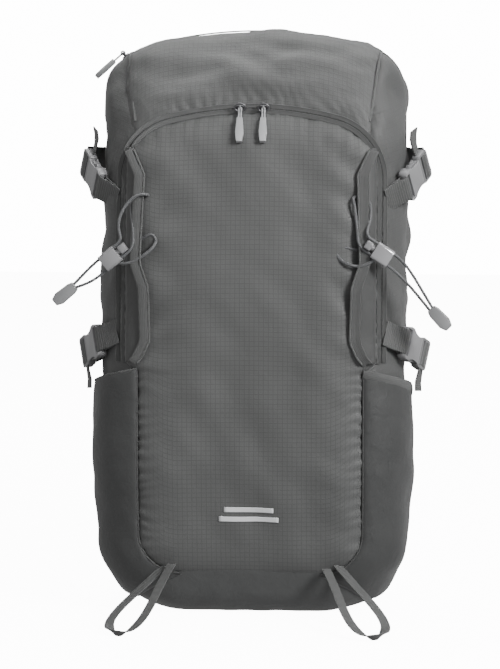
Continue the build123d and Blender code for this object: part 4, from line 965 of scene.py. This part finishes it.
def build_webbing(settings):
    """Compression tabs, straps and tails, gear loops and the haul loop."""
    for level, label in ((level, label) for level in TAILS for label in SIDES):
        side = SIDES[label]
        origin, run, out, wide = buckle_place(level, label)
        spot = lambda s, h: origin + run * s + out * h
        tab = [(-0.021, -0.0098), (-0.013, -0.0070), (-0.006, -0.0030), (0.000, 0.0018), (0.0035, 0.0030),
               (0.0068, 0.0026), (0.0080, 0.0), (0.0068, -0.0026), (0.0035, -0.0032), (-0.001, -0.0036),
               (-0.007, -0.0062), (-0.013, -0.0086)]
        made = ribbon(f"tab {level} {label}", [spot(s, h) for s, h in tab], wide, settings.web_width, 0.0016)
        dress(made, MATERIALS["web"], "pack")
        anchor = Vector((side * 0.1512, 0.060, spot(0.05, 0).z))
        strap = [spot(0.0415, 0.0034), spot(0.0445, 0.0042), spot(0.0480, 0.0030), spot(0.0510, 0.0006),
                 spot(0.056, -0.0004), lerp(spot(0.052, 0), anchor, 0.5), anchor, anchor + Vector((0, 0.012, 0))]
        made = ribbon(f"strap {level} {label}", strap, wide, settings.web_width, 0.0016)
        dress(made, MATERIALS["web"], "pack")
        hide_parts(f"compression_strap_{level}_{label}")
        tail = TAILS[level]
        tail = [Vector((side * x, y, z)) for x, y, z in tail]
        turned = [wide, Vector((0.2 * side, 1, 0)), Vector((0.25 * side, 1, 0)), Vector((0.3 * side, 1, 0)),
                  Vector((0.3 * side, 1, 0))]
        made = ribbon(f"tail {level} {label}", tail, turned, settings.web_width * 0.8, 0.0016)
        dress(made, MATERIALS["web"], f"plug_{level}_{label}")
        skin(f"buckle_plug_{level}_{label}", f"buckle plug {level} {label}", 0.0007, None, "buckle_dark",
             f"plug_{level}_{label}")
    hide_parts("compression_tabs")
    skin("buckle_sockets", "buckle sockets", 0.0008, None, "buckle", "pack")
    for label, side in SIDES.items():
        root = Vector((side * 0.081, -0.102, 0.057))
        tip = Vector((side * 0.127, -0.166, 0.003))
        run = (tip - root)
        way = run.normalized()
        level = Vector((0, 0, 1)).cross(run).normalized()
        rows = ((0.0, -0.0055), (0.028, -0.0105), (0.056, -0.0165), (0.074, -0.0180), (0.086, -0.0150),
                (0.093, -0.0070), (0.0952, 0.0), (0.093, 0.0070), (0.086, 0.0150), (0.074, 0.0180),
                (0.056, 0.0165), (0.028, 0.0105), (0.0, 0.0055))
        normal = run.cross(level).normalized()
        coarse = [root + way * s + level * w * 1.0 + normal * (0.0022 if w > 0 else -0.0022) * (1 - s / 0.1)
                  for s, w in rows]
        line = []
        for a in range(len(coarse) - 1):
            p0, p1 = coarse[max(a - 1, 0)], coarse[a]
            p2, p3 = coarse[a + 1], coarse[min(a + 2, len(coarse) - 1)]
            for k in range(6):
                t = k / 6
                line.append(0.5 * ((2 * p1) + (p2 - p0) * t + (2 * p0 - 5 * p1 + 4 * p2 - p3) * t * t
                                   + (3 * p1 - p0 - 3 * p2 + p3) * t**3))
        line.append(coarse[-1])
        across = []
        for n, point in enumerate(line):
            ahead = line[min(n + 1, len(line) - 1)] - line[max(n - 1, 0)]
            flat = ahead.cross(normal).normalized()
            turn = n / (len(line) - 1)
            lean = math.exp(-((turn - 0.5) / 0.13) ** 2)
            across.append((flat * (1 - 0.9 * lean) + normal * (1.1 * lean)).normalized())
        made = ribbon(f"gear loop {label}", line, across, 0.0098, 0.0013, crown=0.0002)
        dress(made, MATERIALS["loop"], f"loop_{label}")
        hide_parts(f"gear_loop_{label}")
    arc = [Vector((0.0325 * math.cos(t), 0.099, 0.541 + 0.0245 * math.sin(t)))
           for t in [math.pi * n / 24 for n in range(25)]]
    haul = ribbon("haul loop tape", arc, Vector((0, 1, 0)), 0.016, 0.0022)
    dress(haul, MATERIALS["web"], "haul")
    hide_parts("haul_loop")


def build_hardware(settings):
    """Zip sliders and pulls, cord locks and harness buckles, with rounded edges."""
    for label in SIDES:
        skin(f"front_zip_slider_{label}", f"front slider {label}", 0.0004, None, "metal",
             f"front_slider_{label}")
        skin(f"front_zip_pull_{label}", f"front pull {label}", 0.0007, None, "tip",
             f"front_pull_{label}")
        skin(f"cord_lock_button_{label}", f"lock button {label}", 0.0006, None, "buckle",
             f"button_{label}")
    for label, side in SIDES.items():
        x, y, z = side * 0.0115, -0.0700, 0.5075
        ring = [Vector((x + 0.0056 * math.cos(t), y - 0.0012 - 0.0010 * math.sin(t), z + 0.0040 * math.sin(t)))
                for t in [2 * math.pi * n / 18 for n in range(19)]]
        bail = tube(f"slider bail {label}", ring, 0.0009)
        bail.data.materials.append(MATERIALS["metal"])
        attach(bail, f"front_slider_{label}")
    skin("main_zip_slider", "main slider", 0.0004, None, "metal", "main_slider")
    skin("main_zip_pull", "main pull", 0.0007, None, "tip", "main_pull")
    skin("ladder_locks", "ladder locks shape", 0.0005, None, "buckle", "harness")
    skin("sternum_buckle_socket", "sternum socket shape", 0.0006, None, "buckle", "harness")
    skin("sternum_buckle_plug", "sternum plug shape", 0.0006, None, "buckle_dark", "sternum_plug")
    skin("belt_buckle_socket", "belt socket shape", 0.0008, None, "buckle", "hip_left")
    skin("belt_buckle_plug", "belt plug shape", 0.0008, None, "buckle_dark", "hip_right")
    # One cord lock part split by side: the left keeps the buckle plastic, the right gets a lighter, glossier
    # finish as painted light.
    skin("cord_locks", "lock barrel left", 0.0009, lambda co: co.x < 0, "buckle", "flap")
    skin("cord_locks", "lock barrel right", 0.0009, lambda co: co.x > 0, "clear", "flap")
    skin("lock_springs", "lock spring coils", 0, None, "stay", "flap")
    for node, name, finish, body, slot in (
        ("frame_sheet", "frame sheet shape", "sheet", "pack", "sheet_plastic"),
        ("frame_stay", "frame stay shape", "stay", "pack", "stay_metal"),
        ("harness_webbing", "harness webbing tape", "loop", "pack", "webbing"),
        ("sternum_web_left", "sternum web left tape", "loop", "harness", "webbing"),
        ("sternum_web_right", "sternum web right tape", "loop", "harness", "webbing"),
    ):
        skin(node, name, 0.0003, None, finish, body)


# ---- elastic cords ------------------------------------------------------------------------------
CORDS = {
    "elastic cord left": (-1, "elastic_cord_left", 0.261, "fitting", (
        (-0.1699, -0.1060, 0.3336), (-0.1575, -0.1060, 0.3375), (-0.1441, -0.1060, 0.3468),
        (-0.1242, -0.1059, 0.3637), (-0.1136, -0.1057, 0.3725), (-0.1139, -0.1016, 0.3880),
        (-0.1158, -0.0970, 0.4010), (-0.1170, -0.0926, 0.4105), (-0.1160, -0.0898, 0.4173),
        (-0.1105, -0.0872, 0.4213), (-0.1040, -0.0884, 0.4230), (-0.0994, -0.0912, 0.4226),
        (-0.1026, -0.0960, 0.4244), (-0.1110, -0.0968, 0.4236), (-0.1210, -0.0985, 0.4145),
        (-0.1276, -0.1020, 0.4020), (-0.1280, -0.1054, 0.3898), (-0.1248, -0.1060, 0.3798),
        (-0.1356, -0.1059, 0.3706), (-0.1524, -0.1060, 0.3566), (-0.1625, -0.1060, 0.3465),
        (-0.1721, -0.1060, 0.3364))),
    "elastic cord right": (1, "elastic_cord_right", 0.291, "fitting", (
        (0.1747, -0.1060, 0.3138), (0.1645, -0.1060, 0.3265), (0.1505, -0.1060, 0.3425),
        (0.1389, -0.1060, 0.3534), (0.1171, -0.1059, 0.3678), (0.1056, -0.1057, 0.3752),
        (0.1044, -0.1012, 0.3910), (0.1024, -0.0984, 0.4060), (0.1012, -0.0962, 0.4160),
        (0.0992, -0.0912, 0.4208), (0.1040, -0.0884, 0.4226), (0.1105, -0.0871, 0.4210),
        (0.1162, -0.0898, 0.4166), (0.1174, -0.0926, 0.4095), (0.1168, -0.0980, 0.3990),
        (0.1124, -0.1060, 0.3860), (0.1241, -0.1059, 0.3781), (0.1459, -0.1060, 0.3642),
        (0.1570, -0.1060, 0.3500), (0.1678, -0.1060, 0.3320), (0.1773, -0.1060, 0.3163))),
    "lock tether left": (-1, "lock_tether_left", 0.065, "object", (
        (-0.1272, -0.1060, 0.3577), (-0.1200, -0.1066, 0.3570), (-0.1110, -0.1062, 0.3605),
        (-0.1015, -0.1062, 0.3665), (-0.0935, -0.1036, 0.3735), (-0.0913, -0.0986, 0.3800),
        (-0.0955, -0.0980, 0.3855), (-0.1010, -0.0974, 0.3840), (-0.1065, -0.0964, 0.3805))),
    "lock tether right": (1, "lock_tether_right", 0.066, "object", (
        (0.1208, -0.1060, 0.3622), (0.1135, -0.1066, 0.3568), (0.1045, -0.1068, 0.3558),
        (0.0950, -0.1066, 0.3575), (0.0865, -0.1026, 0.3625), (0.0845, -0.1003, 0.3690),
        (0.0905, -0.0997, 0.3735), (0.0980, -0.0996, 0.3728), (0.1045, -0.0983, 0.3708))),
}
CORD_DIAMETER = 0.003


def build_cords(settings):
    """Each elastic cord from its end cap through the lock, round the border tape and back."""
    caps = {
        side: skin("cord_end_caps", f"end cap {label}", 0.0012, (lambda co, s=side: co.x * s > 0), "cap", "flap")
        for label, side in SIDES.items()
    }
    for name, (side, node, length, far_end, points) in CORDS.items():
        cord = tube(name, points, CORD_DIAMETER / 2)
        dress(cord, MATERIALS["cord"], "flap")
        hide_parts(node)


# ---- padded harness -----------------------------------------------------------------------------
def cushion(name, node, body, cap, shrink=0.0010, keep=None):
    """A pad as a crowned closed form: remeshed from its CAD solid and swollen by a short cloth run."""
    bm = bmesh.new()
    bm.from_mesh(frame["nodes"][node].data)
    if keep:
        bmesh.ops.delete(bm, geom=[v for v in bm.verts if not keep(v.co)], context="VERTS")
    bmesh.ops.remove_doubles(bm, verts=bm.verts, dist=0.00002)
    obj = mesh_from(name, bm)
    shape = obj.modifiers.new("Voxels", "REMESH")
    shape.mode = "VOXEL"
    shape.voxel_size = 0.0042
    dg = bpy.context.evaluated_depsgraph_get()
    rough = bpy.data.meshes.new_from_object(obj.evaluated_get(dg))
    bm = bmesh.new()
    bm.from_mesh(rough)
    for _ in range(3):
        soften(bm)
    bm.normal_update()
    for vert in bm.verts:
        vert.co -= vert.normal * shrink
    bm.to_mesh(rough)
    rest = [v.co.copy() for v in bm.verts]
    ways = [v.normal.copy() for v in bm.verts]
    bm.free()
    obj.modifiers.clear()
    obj.data = rough
    cloth = obj.modifiers.new("Cloth", "CLOTH")
    cloth.settings.use_pressure = True
    cloth.settings.uniform_pressure_force = 4.0
    cloth.settings.effector_weights.gravity = 0.0
    cloth.settings.quality = 4
    cloth.point_cache.frame_start = 1
    cloth.point_cache.frame_end = 12
    scene = bpy.context.scene
    for tick in range(1, 13):
        scene.frame_set(tick)
    dg = bpy.context.evaluated_depsgraph_get()
    swollen = bpy.data.meshes.new_from_object(obj.evaluated_get(dg))
    obj.modifiers.clear()
    for vert, start, way in zip(swollen.vertices, rest, ways):
        move = vert.co - start
        out = max(-cap, min(cap, move.dot(way)))
        vert.co = start + way * out
    obj.data = swollen
    scene.frame_set(1)
    obj.data.shade_smooth()
    more = obj.modifiers.new("Smooth", "SUBSURF")
    more.levels = 1
    more.render_levels = 1
    dress(obj, MATERIALS["mesh"], body)
    return obj


def build_harness(settings):
    """Back pads, shoulder straps and hip belt wings, with a strip of webbing at each hip."""
    spots = {
        "back pad left": ("back_pads", "pack", lambda co: co.z > 0.16 and co.x < 0),
        "back pad right": ("back_pads", "pack", lambda co: co.z > 0.16 and co.x > 0),
        "lumbar pad": ("back_pads", "pack", lambda co: co.z < 0.16),
        "shoulder strap pad left": ("shoulder_strap_left", "harness", None),
        "shoulder strap pad right": ("shoulder_strap_right", "harness", None),
        "hip wing pad left": ("hip_wing_left", "hip_left", None),
        "hip wing pad right": ("hip_wing_right", "hip_right", None),
    }
    for name, (node, body, keep) in spots.items():
        made = cushion(name, node, body, settings.pad_cap, keep=keep)
        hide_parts(node)
    for label, side in SIDES.items():
        web = ribbon(f"hip web {label}", [
            (side * 0.058, 0.1590, 0.097), (side * 0.050, 0.1625, 0.097), (side * 0.040, 0.1660, 0.097),
            (side * 0.031, 0.1688, 0.097)], Vector((0, 0, 1)), 0.025, 0.0016)
        dress(web, MATERIALS["web"], f"hip_{label}")


# ---- stage --------------------------------------------------------------------------------------
def area_light(name, place, aim, size, power):
    light = bpy.data.lights.new(name, "AREA")
    light.shape = "RECTANGLE"
    light.size, light.size_y = size
    light.energy = power
    obj = bpy.data.objects.new(name, light)
    bpy.context.scene.collection.objects.link(obj)
    obj.location = place
    obj.rotation_euler = (Vector(aim) - Vector(place)).to_track_quat("-Z", "Y").to_euler()
    return obj


def build_stage(settings):
    """A plain pale floor, broad soft lights and the camera."""
    scene = bpy.context.scene
    azimuth, elevation = math.radians(settings.azimuth), math.radians(settings.elevation)
    aim = Vector((settings.aim_x, -0.05, settings.aim_z))
    level = Vector((math.sin(azimuth), -math.cos(azimuth), 0))
    away = level * math.cos(elevation) + Vector((0, 0, math.sin(elevation)))
    camera = bpy.data.objects.new("Camera", bpy.data.cameras.new("Camera"))
    scene.collection.objects.link(camera)
    camera.location = aim + away * settings.distance
    camera.rotation_euler = (-away).to_track_quat("-Z", "Y").to_euler()
    camera.data.lens = settings.lens
    camera.data.sensor_width = 36
    scene.camera = camera
    bm = bmesh.new()
    bmesh.ops.create_grid(bm, x_segments=2, y_segments=2, size=6.0)
    for vert in bm.verts:
        vert.co.z = -0.0002
    floor = mesh_from("floor", bm)
    mat, tree, shader = material_base("Pale floor", 0.9)
    shader.inputs["Base Color"].default_value = (0.93, 0.93, 0.93, 1)
    shader.inputs["Emission Color"].default_value = (1, 1, 1, 1)
    shader.inputs["Emission Strength"].default_value = settings.floor_glow
    floor.data.materials.append(mat)
    floor.visible_diffuse = False
    floor.visible_glossy = False
    bm = bmesh.new()
    bmesh.ops.create_grid(bm, x_segments=1, y_segments=1, size=4.0)
    for vert in bm.verts:
        vert.co = Vector((vert.co.x, 3.2, vert.co.y + 1.5))
    backdrop = mesh_from("backdrop", bm)
    mat, tree, shader = material_base("White backdrop", 1.0)
    shader.inputs["Base Color"].default_value = (0.9, 0.9, 0.9, 1)
    shader.inputs["Emission Color"].default_value = (1, 1, 1, 1)
    shader.inputs["Emission Strength"].default_value = settings.backdrop
    backdrop.data.materials.append(mat)
    backdrop.visible_diffuse = False
    backdrop.visible_glossy = False
    world = bpy.data.worlds.new("Studio")
    scene.world = world
    world.use_nodes = True
    world.node_tree.nodes["Background"].inputs["Color"].default_value = (1, 1, 1, 1)
    world.node_tree.nodes["Background"].inputs["Strength"].default_value = settings.sky
    area_light("Key", (2.1, -1.9, 1.9), (0, 0, 0.36), (0.9, 1.1), settings.key)
    area_light("Fill", (-2.2, -1.6, 1.2), (0, 0, 0.3), (1.6, 1.6), settings.fill)
    area_light("Top", (0.1, 0.5, 2.4), (0, 0, 0.4), (1.6, 1.0), settings.top_light)


# ---- the add-on ---------------------------------------------------------------------------------
class DaypackSettings(bpy.types.PropertyGroup):
    """Sizes and colours that can be changed before building."""

    front_color: FloatVectorProperty(name="Front colour", description="Ripstop of the front panel", size=3,
                                     subtype="COLOR", default=(0.074, 0.0755, 0.0745), min=0, max=1)
    dark_color: FloatVectorProperty(name="Plain colour", description="Base and pocket fabric", size=3,
                                    subtype="COLOR", default=(0.034, 0.035, 0.0348), min=0, max=1)
    wing_lift: FloatProperty(name="Wing lift", description="How far the border tape stands off", default=0.0070,
                             unit="LENGTH", subtype="DISTANCE")
    web_width: FloatProperty(name="Webbing width", description="Compression webbing", default=0.025,
                             unit="LENGTH", subtype="DISTANCE")
    pad_cap: FloatProperty(name="Pad swell", description="Furthest that a pad's surface may swell", default=0.0030,
                           unit="LENGTH", subtype="DISTANCE")
    azimuth: FloatProperty(name="Azimuth", description="Camera angle round the pack, degrees", default=3.5)
    elevation: FloatProperty(name="Elevation", description="Camera angle above level, degrees", default=7.5)
    distance: FloatProperty(name="Distance", description="Camera distance", default=2.35, unit="LENGTH",
                            subtype="DISTANCE")
    lens: FloatProperty(name="Lens", description="Focal length in millimetres", default=126.5)
    aim_x: FloatProperty(name="Aim across", description="Where the camera points", default=-0.003)
    aim_z: FloatProperty(name="Aim height", description="Where the camera points", default=0.281)
    sky: FloatProperty(name="Sky", description="Strength of the even surroundings", default=0.52)
    key: FloatProperty(name="Key light", description="Power of the key light", default=150.0, subtype="POWER")
    fill: FloatProperty(name="Fill light", description="Power of the fill light", default=9.0, subtype="POWER")
    top_light: FloatProperty(name="Top light", description="Power of the top light", default=40.0, subtype="POWER")
    backdrop: FloatProperty(name="Backdrop", description="Light given off by the backdrop", default=14.0)
    floor_glow: FloatProperty(name="Floor glow", description="Light given off by the pale floor", default=12.0)


def ready(context):
    """The settings, once the finishes and the form that the pieces are laid on are there."""
    settings = context.scene.daypack
    if not MATERIALS:
        make_materials(settings)
    if state["form"] is None:
        make_form()
    return settings


class DaypackStage(bpy.types.Operator):
    """Camera, floor and soft lights."""

    bl_idname = "daypack.stage"
    bl_label = "Build the stage"

    def execute(self, context):
        build_stage(ready(context))
        return {"FINISHED"}


class DaypackCords(bpy.types.Operator):
    """Elastic cords, tethers and end caps."""

    bl_idname = "daypack.cords"
    bl_label = "Build the cords"

    def execute(self, context):
        build_cords(ready(context))
        return {"FINISHED"}


class DaypackPanels(bpy.types.Operator):
    """The sewn fabric shell and its pockets."""

    bl_idname = "daypack.panels"
    bl_label = "Build the panels"

    def execute(self, context):
        build_panels(ready(context))
        return {"FINISHED"}


class DaypackWings(bpy.types.Operator):
    """The strips inside the zip and their border tapes."""

    bl_idname = "daypack.wings"
    bl_label = "Build the wings"

    def execute(self, context):
        build_wings(ready(context))
        return {"FINISHED"}


class DaypackZips(bpy.types.Operator):
    """Zip tapes, coils, piping and hems."""

    bl_idname = "daypack.zips"
    bl_label = "Build the zips"

    def execute(self, context):
        build_zips(ready(context))
        return {"FINISHED"}


class DaypackWebbing(bpy.types.Operator):
    """Compression straps, their buckles, and the loops."""

    bl_idname = "daypack.webbing"
    bl_label = "Build the webbing"

    def execute(self, context):
        build_webbing(ready(context))
        return {"FINISHED"}


class DaypackHardware(bpy.types.Operator):
    """Sliders, pulls, locks and harness buckles."""

    bl_idname = "daypack.hardware"
    bl_label = "Build the hardware"

    def execute(self, context):
        build_hardware(ready(context))
        return {"FINISHED"}


class DaypackHarness(bpy.types.Operator):
    """Back pads, shoulder straps and hip belt."""

    bl_idname = "daypack.harness"
    bl_label = "Build the harness"

    def execute(self, context):
        build_harness(ready(context))
        return {"FINISHED"}


class DaypackPanel(bpy.types.Panel):
    """Sizes, colours and build buttons."""

    bl_idname = "VIEW3D_PT_daypack"
    bl_label = "Daypack"
    bl_space_type = "VIEW_3D"
    bl_region_type = "UI"
    bl_category = "Daypack"

    def draw(self, context):
        settings = context.scene.daypack
        for prop in DaypackSettings.__annotations__:
            self.layout.prop(settings, prop)
        for step in STEPS:
            self.layout.operator(step.bl_idname)


STEPS = (DaypackStage, DaypackCords, DaypackPanels, DaypackWings, DaypackZips, DaypackWebbing, DaypackHardware,
         DaypackHarness)
CLASSES = (DaypackSettings, *STEPS, DaypackPanel)


def register():
    for cls in CLASSES:
        bpy.utils.register_class(cls)
    bpy.types.Scene.daypack = PointerProperty(type=DaypackSettings)


def unregister():
    del bpy.types.Scene.daypack
    for cls in reversed(CLASSES):
        bpy.utils.unregister_class(cls)


def main():
    register()
    for step in STEPS:
        name = step.bl_idname.split(".")[1]
        if getattr(bpy.ops.daypack, name)() != {"FINISHED"}:
            raise RuntimeError(f"{step.bl_label} did not finish")


if __name__ == "__main__":
    main()
